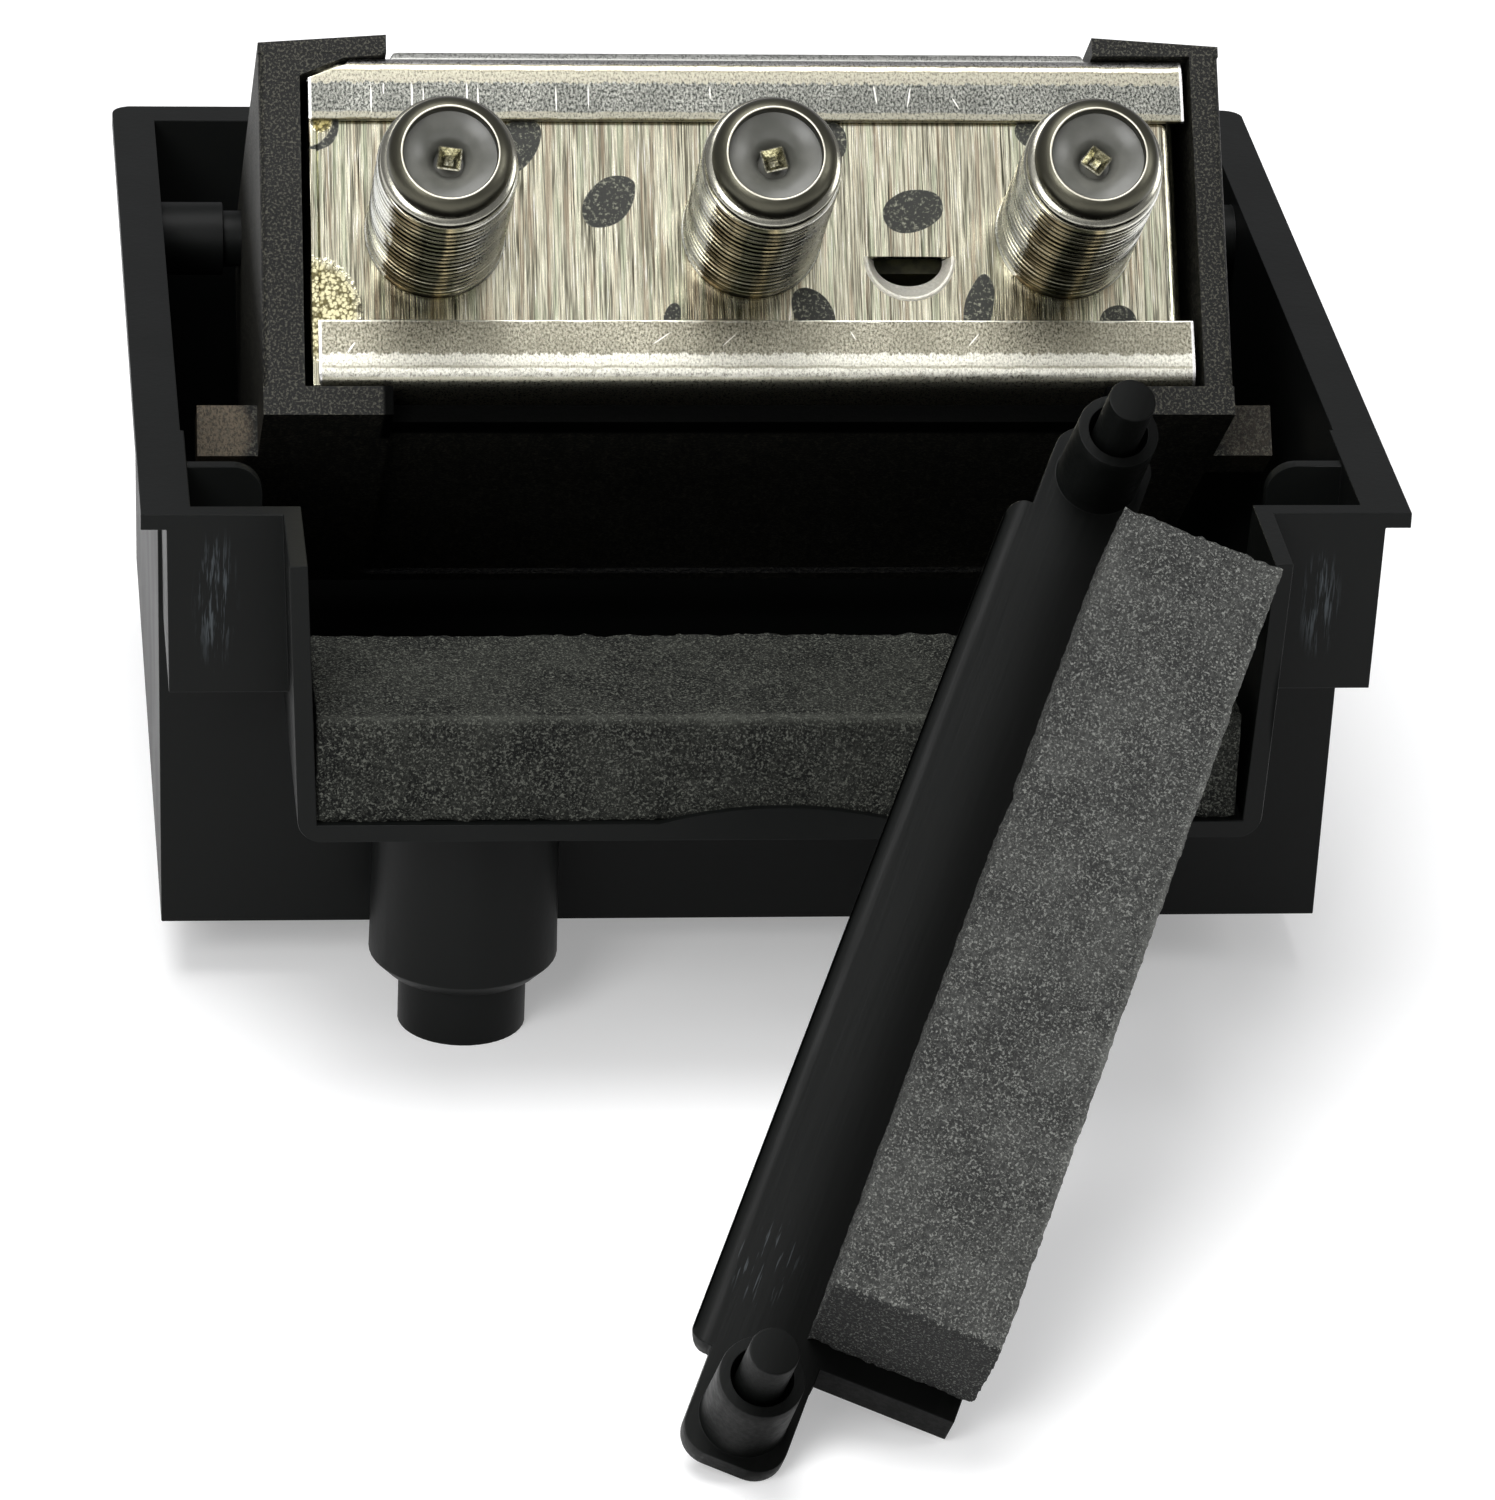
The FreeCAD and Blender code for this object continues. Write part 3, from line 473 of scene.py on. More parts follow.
# The pressed rim round the D-shaped hole: how far out, and how deep
RIM_NARROWS, RIM_FLATTENS, RIM_SHEET = 0.18, 0.37, 0.12
D_RIM = [(0.30, 0.58), (0.16, 0.48), (0.0, 0.5), (-0.12, 0.66), (-0.5, 1.05), (-1.0, 1.5)]
module_place = drawer_place @ Matrix.Translation(Vector((MODULE_MIDDLE, 0, 0)) * MM)


def bent_loop(corners, radius, steps=6):
    """Closed run of points through corners, each turned on a radius."""
    points = []
    for number, corner in enumerate(corners):
        before = (Vector(corners[number - 1]) - Vector(corner)).normalized()
        after = (Vector(corners[(number + 1) % len(corners)]) - Vector(corner)).normalized()
        centre = Vector(corner) + (before + after) * radius
        for step in range(steps + 1):
            turn = math.pi / 2 * step / steps
            points.append(centre - after * radius * math.cos(turn) - before * radius * math.sin(turn))
    return points


def strip(outline, low, high, thick):
    """Bent strip: a closed outline in X and Y, raised between two heights, and its wall."""
    shape = bmesh.new()
    centre = sum((point for point in outline), Vector((0, 0))) / len(outline)
    count = len(outline)
    rings = []
    for inset in (0.0, thick):
        for height in (low, high):
            ring = []
            for number, point in enumerate(outline):
                along = (outline[(number + 1) % count] - outline[number - 1]).normalized()
                inward = Vector((-along.y, along.x))
                if inward.dot(centre - point) < 0:
                    inward = -inward
                inner = point + inward * inset
                ring.append(shape.verts.new((inner.x, inner.y, height)))
            rings.append(ring)
    for first, second in ((0, 1), (1, 3), (3, 2), (2, 0)):
        for number in range(count):
            after = (number + 1) % count
            shape.faces.new((rings[first][number], rings[first][after],
                             rings[second][after], rings[second][number]))
    bmesh.ops.recalc_face_normals(shape, faces=shape.faces)
    return shape


def cutter(name, outline, depth_low, depth_high):
    """Upright prism along Y that a boolean takes away."""
    shape = bmesh.new()
    prism(shape, outline, depth_low, depth_high)
    return added(name, mesh_of(name, shape))


def with_holes(shape, outlines, depth_low, depth_high):
    """The shape with prisms along Y cut out of it."""
    blank = added("whole", mesh_of("whole", shape))
    tools = [cutter("hole", outline, depth_low, depth_high) for outline in outlines]
    for tool in tools:
        cut = blank.modifiers.new("cut", "BOOLEAN")
        cut.object = tool
        cut.solver = "EXACT"
    pierced = settled(blank)
    for item in tools + [blank]:
        bpy.data.objects.remove(item)
    result = bmesh.new()
    result.from_mesh(pierced)
    bmesh.ops.remove_doubles(result, verts=result.verts, dist=0.001)
    return result


def circle(x, z, radius, steps=56):
    return [(x + radius * math.cos(math.tau * k / steps),
             z + radius * math.sin(math.tau * k / steps)) for k in range(steps)]


reach = math.acos(D_HALF / D_RADIUS)
d_outline = [(D_SIDE + D_RADIUS * math.cos(angle), D_DOWN + D_RADIUS * math.sin(angle))
             for angle in (-reach - (math.pi - 2 * reach) * k / 28 for k in range(29))]
d_outline = [(D_SIDE + D_HALF, D_DOWN)] + d_outline + [(D_SIDE - D_HALF, D_DOWN)]
outline = bent_loop([(FRAME_ENDS[0], PANEL_RECESS), (FRAME_ENDS[1], PANEL_RECESS),
                     (FRAME_ENDS[1], CAN_DEPTH - SHEET), (FRAME_ENDS[0], CAN_DEPTH - SHEET)],
                    FRAME_BEND)
frame_strip = with_holes(strip(outline, CAN_LOW + SHEET, CAN_HIGH - SHEET, SHEET),
                         [circle(side * SOCKET_PITCH, 0, SOCKET_HOLE) for side in (-1, 0, 1)]
                         + [d_outline], PANEL_RECESS - 1, PANEL_RECESS + SHEET + 1)
slot_rim = bmesh.new()
rings = []
for outward, depth in D_RIM:
    inward = -outward if outward < 0 else 0.0
    wide = 1 - RIM_NARROWS * inward + max(outward, 0) / D_RADIUS
    high = 1 - RIM_FLATTENS * inward + max(outward, 0) / D_RADIUS
    rings.append([slot_rim.verts.new((D_SIDE + (x - D_SIDE) * wide, depth,
                                      D_DOWN + (z - D_DOWN) * high)) for x, z in d_outline])
for near, far in zip(rings, rings[1:]):
    for number in range(len(near) - 1):
        slot_rim.faces.new((near[number], near[number + 1], far[number + 1], far[number]))
bmesh.ops.solidify(slot_rim, geom=slot_rim.faces[:], thickness=RIM_SHEET)
bmesh.ops.recalc_face_normals(slot_rim, faces=slot_rim.faces)
hem = bmesh.new()
prism(hem, [(FRAME_ENDS[0], CAN_LOW + 0.1), (FRAME_ENDS[0] + 0.5, CAN_LOW + 0.1),
            (FRAME_ENDS[0] + 0.46, CAN_HIGH - 1.5), (FRAME_ENDS[0], CAN_HIGH - 1.5)],
      SHEET + 0.04, SHEET + 0.6)
frame_strip.from_mesh(mesh_of("hem", hem))
for shape in (frame_strip, slot_rim):
    set_in(shape, module_place)

# Lacquer dabs on the panel: X, Z, half width, half height, lean in degrees
DABS = [(-9.25, 2.1, 2.2, 1.5, 38), (11.4, 1.5, 2.2, 1.5, 20), (-15.5, 5.9, 2.4, 1.5, 50),
        (5.6, 6.3, 1.7, 1.5, 60), (-29.1, 7.6, 1.85, 2.05, 0), (19.9, 7.2, 1.3, 1.2, 0),
        (-5.2, -6.1, 0.6, 0.9, -10), (15.7, -5.4, 0.95, 2.6, -12), (4.4, -5.9, 1.3, 2.0, 25),
        (25.3, -6.6, 1.3, 1.3, 0)]
FLUX = ((-29.4, 0.6, -5.6), (3.4, 3.0, 3.9), 0.25)
FLAKED = ((-30.3, 0.6, 8.1), (2.6, 3.0, 2.4), 0.08)
SPILT = ((-28.6, 0.6, 7.8), (0.8, 3.0, 0.9), 0.3)


def mark_spot(tree, place, x, z, lean):
    """The point measured from the middle of a mark on the module's front, along its lean."""
    mark = Matrix.Translation((x, 0, z)) @ Matrix.Rotation(-math.radians(lean), 4, "Y")
    return wire(tree, "ShaderNodeMapping",
                {"Vector": place, "Location": mark.to_translation(), "Rotation": mark.to_euler()},
                vector_type="TEXTURE").outputs[0]


brushed_tin, tree, place = own_material("brushed_tin", drawer_place)
strokes = grain(tree, stretched(tree, place, (6.5, 1.0, 0.1)), 1.0, 4, 0.75)
hairs = grain(tree, stretched(tree, place, (15.0, 1.0, 0.3)), 1.0, 2, 0.6)
broad = grain(tree, stretched(tree, place, (1.1, 0.5, 0.12)), 1.0, 3, 0.6)
tarnish = grain(tree, stretched(tree, place, (2.3, 1.0, 0.1)), 1.0, 2, 0.6)
speck = grain(tree, place, 4.5, 3, 0.7)
lines = sum_of(tree, product_of(tree, strokes, 0.55), product_of(tree, hairs, 0.45))
color = tint(tree, ramp(tree, lines, 0.39, 0.585), (0.055, 0.05, 0.03), (0.98, 0.94, 0.73))
color = tint(tree, ramp(tree, broad, 0.4, 0.62, 0.0, 0.4), color, (0.46, 0.43, 0.32))
color = tint(tree, ramp(tree, tarnish, 0.54, 0.66, 0.0, 0.45), color, (0.46, 0.35, 0.24))
color = tint(tree, ramp(tree, tarnish, 0.46, 0.34, 0.0, 0.4), color, (0.46, 0.53, 0.36))
color = tint(tree, ramp(tree, hairs, 0.64, 0.7), color, (0.97, 0.95, 0.88))
flux = patch(tree, place, *FLUX)
crumbs = wire(tree, "ShaderNodeTexVoronoi", {"Vector": place, "Scale": 3.6}).outputs["Distance"]
flux_shade = ramp(tree, crumbs, 0.4, 0.8)
color = tint(tree, flux, color, tint(tree, flux_shade, (0.80, 0.74, 0.45), (0.13, 0.11, 0.04)))
wobble = wire(tree, "ShaderNodeTexNoise",
              {"Vector": place, "Scale": 0.45, "Detail": 0.0}).outputs["Color"]
wobble = vector_of(tree, wobble, (0.5, 0.5, 0.5), "SUBTRACT")
wobble = stretched(tree, wobble, (0.5, 0.5, 0.5))
dabs = None
for x, z, wide, high, lean in DABS:
    moved = vector_of(tree, mark_spot(tree, place, x, z, lean), wobble, "ADD")
    dab = patch(tree, moved, (0, 0, 0), (wide, 30, high), 0.05)
    dabs = dab if dabs is None else sum_of(tree, dabs, dab, "MAXIMUM")
flaked = patch(tree, place, *FLAKED)
dabs = sum_of(tree, dabs, flaked, "SUBTRACT")
dabs = ramp(tree, dabs, 0.0, 1.0)
lacquer = tint(tree, ramp(tree, speck, 0.52, 0.7), (0.012, 0.013, 0.009), (0.24, 0.24, 0.18))
color = tint(tree, dabs, color, lacquer)
spilt = patch(tree, place, *SPILT)
color = tint(tree, spilt, color, tint(tree, flux_shade, (0.70, 0.60, 0.25), (0.12, 0.10, 0.03)))
flux = sum_of(tree, flux, spilt, "MAXIMUM")
gloss = ramp(tree, lines, 0.3, 0.7, 0.09, 0.22)
gloss = sum_of(tree, gloss, product_of(tree, dabs, 0.3))
normal = bump(tree, lines, 0.03 * MM, 0.55)
normal = bump(tree, product_of(tree, flux_shade, flux), 0.2 * MM, 0.7, normal)
covered = product_of(tree, sum_of(tree, dabs, flux, "MAXIMUM"), 0.85)
surface(tree, color, gloss, normal, Metallic=sum_of(tree, 1.0, covered, "SUBTRACT"))

# Painted light: a lighter, less metallic copy of the tin for the pressed rim round the D-shaped hole, so
# that its scoop looks lit.
tin_painted_light, tree, place = own_material("tin_painted_light", drawer_place)
speck = grain(tree, place, 5.0, 3, 0.6)
surface(tree, tint(tree, ramp(tree, speck, 0.3, 0.7), (0.84, 0.82, 0.74), (1.0, 0.98, 0.9)), 0.42,
        bump(tree, speck, 0.01 * MM, 0.4), Metallic=0.35)

module_frame = piece_from("module_frame", frame_strip, "drawer", brushed_tin, 0.06 * MM)
slot_lip = piece_from("slot_lip", slot_rim, "drawer", tin_painted_light)
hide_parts("shield_frame")

# Module covers: two shallow tin-plate lids, each with a lip folded over the front and the
# back of the frame. Light and dark bands along the folds are painted highlights and painted
# reflections; the flats are dull and lightly scratched.
COVER_BEND = 1.15
LIP_TOP, LIP_BOTTOM = 4.62, 4.55
EMBOSS_HALF, EMBOSS_START, EMBOSS_RISE = 23.9, 1.3, 0.8


def lid(plate_level, lip_drop, up, ends):
    """Lid from its section in Y and Z: back lip, plate and front lip, with rounded folds."""
    outer = [(CAN_DEPTH, plate_level - up * lip_drop)]
    level = plate_level - up * COVER_BEND
    turns = [math.pi / 2 * step / 8 for step in range(9)]
    outer += [(CAN_DEPTH - COVER_BEND + COVER_BEND * math.cos(turn),
               level + up * COVER_BEND * math.sin(turn)) for turn in turns]
    outer += [(COVER_BEND - COVER_BEND * math.sin(turn),
               level + up * COVER_BEND * math.cos(turn)) for turn in turns]
    outer.append((0, plate_level - up * lip_drop))
    inner = []
    for number, (y, z) in enumerate(outer):
        before = Vector(outer[max(number - 1, 0)])
        after = Vector(outer[min(number + 1, len(outer) - 1)])
        along = (after - before).normalized()
        inward = Vector((-along.y, along.x)) * up
        inner.append((y + inward.x * SHEET, z + inward.y * SHEET))
    section = outer + inner[::-1]
    shape = bmesh.new()
    sheets = [[shape.verts.new((x, y, z)) for y, z in section] for x in ends]
    shape.faces.new(sheets[0])
    shape.faces.new(sheets[1][::-1])
    for number in range(len(section)):
        after = (number + 1) % len(section)
        shape.faces.new((sheets[0][number], sheets[1][number],
                         sheets[1][after], sheets[0][after]))
    bmesh.ops.recalc_face_normals(shape, faces=shape.faces)
    return shape


def dull_tin(name, up, flat_shades, bands, ragged_level, ends, scratch_spots):
    """Tin plate, dull and speckled on the flat, with painted highlights and painted reflections in bands
    along the fold.

    Each band is a level up the front, the colour from there on and how sharply it starts."""
    material, tree, place = own_material(name, drawer_place)
    axes = axes_of(tree, place)
    ragged = grain(tree, stretched(tree, place, (2.6, 1.0, 0.4)), 1.0, 3, 0.7)
    wavy = grain(tree, stretched(tree, place, (0.5, 1.0, 0.2)), 1.0, 2)
    speck = grain(tree, stretched(tree, place, (1.0, 1.0, 0.7)), 6.5, 3, 0.8)
    cloud = grain(tree, place, 0.3, 3)
    color = tint(tree, ramp(tree, speck, 0.38, 0.64), *flat_shades)
    color = tint(tree, ramp(tree, cloud, 0.35, 0.65, 0.0, 0.35), color, flat_shades[0])
    rough_level = sum_of(tree, axes["Z"], ramp(tree, ragged, 0.3, 0.7, -0.16, 0.16))
    wavy_level = sum_of(tree, axes["Z"], ramp(tree, wavy, 0.3, 0.7, -0.05, 0.05))
    for start, shade, soft in bands:
        source = rough_level if start == ragged_level else wavy_level
        color = tint(tree, ramp(tree, source, start - up * soft, start + up * soft), color, shade)
    color = tint(tree, ramp(tree, speck, 0.58, 0.4, 0.0, 0.45), color, flat_shades[0])
    nicks = None
    for x, half, z, high, lean in scratch_spots:
        nick = patch(tree, mark_spot(tree, place, x, z, lean), (0, 0, 0), (half, 60, high), 0.4)
        nicks = nick if nicks is None else sum_of(tree, nicks, nick, "MAXIMUM")
    color = tint(tree, nicks, color, (0.95, 0.93, 0.86))
    for end, inward in zip(ends, (1, -1)):
        cut_edge = ramp(tree, axes["X"], end + inward * 0.26, end + inward * 0.16)
        color = tint(tree, cut_edge, color, (0.95, 0.94, 0.92))
    lines = grain(tree, stretched(tree, place, (0.05, 1.0, 5.0)), 1.0, 3)
    normal = bump(tree, sum_of(tree, lines, speck), 0.012 * MM, 0.5)
    surface(tree, color, ramp(tree, speck, 0.3, 0.7, 0.24, 0.4), normal, Metallic=1.0)
    return material


# Bands along the folds and free edges: painted highlights where light, painted reflections where dark.
cream_highlight, bright_highlight = (0.50, 0.475, 0.375), (0.95, 0.93, 0.82)
top_reflection_bands = [(8.28, (0.38, 0.365, 0.29), -0.04), (7.84, (0.22, 0.20, 0.13), -0.04),
             (10.36, cream_highlight, 0.05), (10.55, (0.48, 0.45, 0.36), 0.04), (10.72, cream_highlight, 0.06),
             (11.16, (0.42, 0.39, 0.29), 0.03),
             (11.3, (0.78, 0.75, 0.64), 0.04), (11.6, (0.34, 0.31, 0.22), 0.03),
             (11.74, (0.50, 0.49, 0.48), 0.06), (12.37, (0.30, 0.30, 0.285), 0.02),
             (12.98, (0.62, 0.62, 0.58), 0.1)]
bottom_reflection_bands = [(-6.62, bright_highlight, -0.03), (-8.9, bright_highlight, 0.06),
                (-9.5, (0.80, 0.78, 0.68), 0.05), (-9.72, (0.52, 0.50, 0.40), 0.04),
                (-9.9, bright_highlight, 0.05), (-10.45, (0.56, 0.54, 0.43), 0.08)]
# Scratches on the lids: X, half width, Z, half height, lean in degrees
top_nicks = [(-25.25, 0.06, 9.2, 1.2, 0), (-24.4, 0.05, 9.9, 0.5, 0), (-22.47, 0.09, 9.3, 1.2, 0),
             (-21.7, 0.05, 9.2, 1.0, 0), (-18.74, 0.07, 9.6, 0.9, 0), (-18.0, 0.06, 9.1, 1.3, 0),
             (-12.7, 0.05, 9.2, 1.1, 0), (-10.5, 0.05, 9.4, 1.0, 0), (-2.2, 0.05, 9.7, 0.6, 0),
             (9.1, 0.07, 9.6, 0.8, 8), (11.4, 0.06, 9.4, 0.9, -10), (14.6, 0.05, 9.0, 0.6, 30)]
bottom_nicks = [(-26.9, 0.09, -8.45, 0.55, -35), (-6.0, 0.05, -7.8, 0.9, -55),
                (-1.4, 0.05, -7.9, 0.8, -48), (15.2, 0.06, -7.9, 0.7, -40), (7.0, 0.05, -7.6, 0.4, 30)]

LEFT_CUT = [(-31.0, 13.5), (-31.0, 10.35), (-29.88, 10.7), (-27.35, 11.72), (-26.2, 13.5)]
top_shape = with_holes(lid(CAN_HIGH, LIP_TOP, 1, (-HALF_CAN, HALF_CAN)), [LEFT_CUT], -1.0, 2.4)
panel = bmesh.new()
levels = ((0.0, CAN_HIGH - SHEET), (0.0, CAN_HIGH + 0.02), (0.12, CAN_HIGH + 0.3),
          (0.3, CAN_HIGH + EMBOSS_RISE - 0.12), (0.55, CAN_HIGH + EMBOSS_RISE))
rings = []
for inset, height in levels:
    across = EMBOSS_HALF - inset
    rings.append([panel.verts.new((x - MODULE_MIDDLE, y, height)) for x, y in (
        (-across, EMBOSS_START + inset), (across, EMBOSS_START + inset),
        (across, CAN_DEPTH - EMBOSS_START - inset), (-across, CAN_DEPTH - EMBOSS_START - inset))])
for near, far in zip(rings, rings[1:]):
    for number in range(4):
        after = (number + 1) % 4
        panel.faces.new((near[number], near[after], far[after], far[number]))
panel.faces.new(rings[0][::-1])
panel.faces.new(rings[-1])
bmesh.ops.recalc_face_normals(panel, faces=panel.faces)
top_shape.from_mesh(mesh_of("raised_panel", panel))
bottom_shape = lid(CAN_LOW, LIP_BOTTOM, -1, (-HALF_CAN + 0.4, HALF_CAN))
for shape in (top_shape, bottom_shape):
    set_in(shape, module_place)
lid_top = piece_from("lid_top", top_shape, "drawer",
                     dull_tin("lid_top_tin", 1, ((0.07, 0.074, 0.066), (0.50, 0.50, 0.45)),
                              top_reflection_bands, 10.36, (-29.5, 30.3), top_nicks), 0.1 * MM)
lid_bottom = piece_from("lid_bottom", bottom_shape, "drawer",
                        dull_tin("lid_bottom_tin", -1, ((0.20, 0.19, 0.14), (0.60, 0.57, 0.46)),
                                 bottom_reflection_bands, -8.9, (-29.1, 30.3), bottom_nicks), 0.1 * MM)
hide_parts("shield_cover_top")
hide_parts("shield_cover_bottom")

# Sockets: three F sockets, turned and nickel plated, with a fine thread. A plain collar and
# a rounded nose lead the plug in. The grey insulator is dished round a spring contact.
THREAD_RADIUS = 4.725
THREAD_PITCH = 0.794
THREAD_DEPTH = 0.36
THREAD_FROM, THREAD_TO = 0.5, -12.7
BODY_SECTION = [(5.6, 2.3), (5.6, 1.1), (4.5, 1.1), (4.5, -12.7),
                (4.3, -12.82), (4.3, -12.98), (4.52, -13.1), (4.54, -13.72), (4.42, -13.86),
                (4.0, -13.94), (3.9, -14.12), (3.98, -14.28), (4.14, -14.36), (4.12, -14.74),
                (4.0, -15.06), (3.8, -15.3), (3.5, -15.48), (3.28, -15.58), (3.2, -15.6), (3.14, -15.57),
                (3.1, -15.5), (3.1, 2.3)]


# Painted reflections round the thread: light and dark stretches from its left flank to its right one
THREAD_REFLECTIONS = [(0.0, (0.78, 0.79, 0.74)), (0.10, (0.80, 0.79, 0.72)), (0.14, (0.10, 0.08, 0.045)),
         (0.2, (0.10, 0.08, 0.045)), (0.25, (0.20, 0.165, 0.095)), (0.30, (0.14, 0.12, 0.07)),
         (0.35, (0.05, 0.05, 0.03)), (0.46, (0.06, 0.06, 0.038)), (0.52, (0.42, 0.35, 0.20)),
         (0.57, (0.22, 0.21, 0.14)), (0.64, (0.55, 0.53, 0.44)), (0.8, (0.85, 0.84, 0.76)),
         (1.0, (0.95, 0.95, 0.9))]


def ring_of(shape, x, radius, depth, steps):
    return [shape.verts.new((x + radius * math.cos(math.tau * k / steps), depth,
                             radius * math.sin(math.tau * k / steps))) for k in range(steps)]


def turned(section, x, steps=96):
    """Piece turned about a line along Y: a closed section of radius and depth, spun round."""
    shape = bmesh.new()
    rings = [ring_of(shape, x, radius, depth, steps) for radius, depth in section]
    for number, ring in enumerate(rings):
        following = rings[(number + 1) % len(rings)]
        for k in range(steps):
            after = (k + 1) % steps
            shape.faces.new((ring[k], ring[after], following[after], following[k]))
    bmesh.ops.recalc_face_normals(shape, faces=shape.faces)
    set_in(shape, module_place)
    return shape


def capped_turn(section, x, steps=64):
    """Turned piece whose section starts and ends on the axis."""
    shape = bmesh.new()
    first = shape.verts.new((x, section[0][1], 0))
    last = shape.verts.new((x, section[-1][1], 0))
    rings = [ring_of(shape, x, radius, depth, steps) for radius, depth in section[1:-1]]
    for k in range(steps):
        after = (k + 1) % steps
        shape.faces.new((first, rings[0][after], rings[0][k]))
        shape.faces.new((last, rings[-1][k], rings[-1][after]))
        for near, far in zip(rings, rings[1:]):
            shape.faces.new((near[k], near[after], far[after], far[k]))
    bmesh.ops.recalc_face_normals(shape, faces=shape.faces)
    set_in(shape, module_place)
    return shape


nickel, tree, place = own_material("nickel_plate", drawer_place)
cloud = grain(tree, place, 0.5, 3)
speck = grain(tree, place, 6.0, 2, 0.6)
color = tint(tree, ramp(tree, cloud, 0.3, 0.7), (0.66, 0.65, 0.58), (0.88, 0.87, 0.80))
axes = axes_of(tree, place)
beside = wire(tree, "ShaderNodeMath",
              {0: axes["X"], 1: MODULE_MIDDLE + SOCKET_PITCH / 2, 2: MODULE_MIDDLE - SOCKET_PITCH / 2},
              operation="WRAP").outputs[0]
beside = sum_of(tree, beside, MODULE_MIDDLE, "SUBTRACT")
on_thread = product_of(tree, ramp(tree, axes["Y"], -13.4, -12.9), ramp(tree, axes["Z"], 1.5, -0.5))
streaks = grain(tree, stretched(tree, place, (1.6, 0.25, 1.6)), 1.0, 2, 0.6)
around = sum_of(tree, beside, ramp(tree, streaks, 0.3, 0.7, -0.2, 0.2))
around = wire(tree, "ShaderNodeMapRange",
              {"Value": around, "From Min": -4.8, "From Max": 4.8}).outputs["Result"]
thread_reflections = wire(tree, "ShaderNodeValToRGB", {"Fac": around})
for number, (spot, shade) in enumerate(THREAD_REFLECTIONS):
    stops = thread_reflections.color_ramp.elements
    stop = stops[number] if number < 2 else stops.new(spot)
    stop.position = spot
    stop.color = (*shade, 1)
color = tint(tree, on_thread, color, thread_reflections.outputs["Color"])
# Painted reflections along the axis: the chamfer past the thread's end darker, the nose dark, and a
# painted highlight on the ring at the nose's face.
color = tint(tree, ramp(tree, axes["Y"], -12.75, -12.85), color, (0.40, 0.39, 0.33))
color = tint(tree, ramp(tree, axes["Y"], -13.8, -14.1), color, (0.085, 0.082, 0.062))
color = tint(tree, ramp(tree, axes["Y"], -15.57, -15.595), color, (0.72, 0.69, 0.58))
gloss = sum_of(tree, ramp(tree, speck, 0.3, 0.7, 0.16, 0.24),
               ramp(tree, axes["Y"], -13.8, -15.0, 0.0, 0.16))
flanks = sum_of(tree, ramp(tree, around, 0.14, 0.1), ramp(tree, around, 0.66, 0.8))
flanks = product_of(tree, flanks, on_thread)
gloss = sum_of(tree, gloss, product_of(tree, flanks, 0.1))
radial = wire(tree, "ShaderNodeCombineXYZ", {"X": beside, "Z": axes["Z"]}).outputs[0]
radial = wire(tree, "ShaderNodeVectorMath", {0: radial}, operation="LENGTH").outputs["Value"]
# Painted shade in the grooves: the thread's roots on both flanks darkened.
groove_shade = product_of(tree, ramp(tree, radial, 4.66, 4.5), flanks)
color = tint(tree, product_of(tree, groove_shade, 0.7), color, (0.16, 0.155, 0.12))
surface(tree, color, gloss, bump(tree, speck, 0.006 * MM, 0.5), Metallic=1.0)

ridge_tree = bpy.data.node_groups.new("thread_ridge", "GeometryNodeTree")
for name, kind in (("Spots", "Geometry"), ("Radius", "Float"), ("Pitch", "Float"),
                   ("Length", "Float"), ("Ridge", "Float"), ("Finish", "Material")):
    ridge_tree.interface.new_socket(name, in_out="INPUT", socket_type="NodeSocket" + kind)
ridge_tree.interface.new_socket("Thread", in_out="OUTPUT", socket_type="NodeSocketGeometry")
given = ridge_tree.nodes.new("NodeGroupInput").outputs
turns = wire(ridge_tree, "ShaderNodeMath", {0: given["Length"], 1: given["Pitch"]}, operation="DIVIDE")
helix = wire(ridge_tree, "GeometryNodeCurveSpiral",
             {"Resolution": 72, "Rotations": turns.outputs[0], "Start Radius": given["Radius"],
              "End Radius": given["Radius"], "Height": given["Length"]})
crest = wire(ridge_tree, "GeometryNodeCurvePrimitiveCircle",
             {"Resolution": 6, "Radius": given["Ridge"]})
sweep = wire(ridge_tree, "GeometryNodeCurveToMesh",
             {"Curve": helix.outputs[0], "Profile Curve": crest.outputs[0], "Fill Caps": True})
placed = wire(ridge_tree, "GeometryNodeInstanceOnPoints",
              {"Points": given["Spots"], "Instance": sweep.outputs[0]})
real = wire(ridge_tree, "GeometryNodeRealizeInstances", {0: placed.outputs[0]})
smooth = wire(ridge_tree, "GeometryNodeSetShadeSmooth", {"Geometry": real.outputs[0]})
finish = wire(ridge_tree, "GeometryNodeSetMaterial",
              {"Geometry": smooth.outputs[0], "Material": given["Finish"]})
wire(ridge_tree, "NodeGroupOutput", {"Thread": finish.outputs[0]})

spots_mesh = bpy.data.meshes.new("thread_spots")
spots_mesh.from_pydata([(side * SOCKET_PITCH, 0, 0) for side in (-1, 0, 1)], [], [])
threads = added("socket_threads", spots_mesh)
winding = threads.modifiers.new("winding", "NODES")
winding.node_group = ridge_tree
sockets_by_name = {item.name: item.identifier for item in ridge_tree.interface.items_tree
                   if item.in_out == "INPUT"}
for name, number in (("Radius", THREAD_RADIUS - THREAD_DEPTH), ("Pitch", THREAD_PITCH),
                     ("Length", THREAD_FROM - THREAD_TO), ("Ridge", THREAD_DEPTH),
                     ("Finish", nickel)):
    winding[sockets_by_name[name]] = number
wound = settled(threads)
threads.modifiers.clear()
threads.data = wound
wound.transform(Matrix.Rotation(math.pi / 2, 4, "X"))
wound.transform(Matrix.Translation((0, THREAD_FROM, 0)))
set_in(wound, module_place)
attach(threads, "drawer")

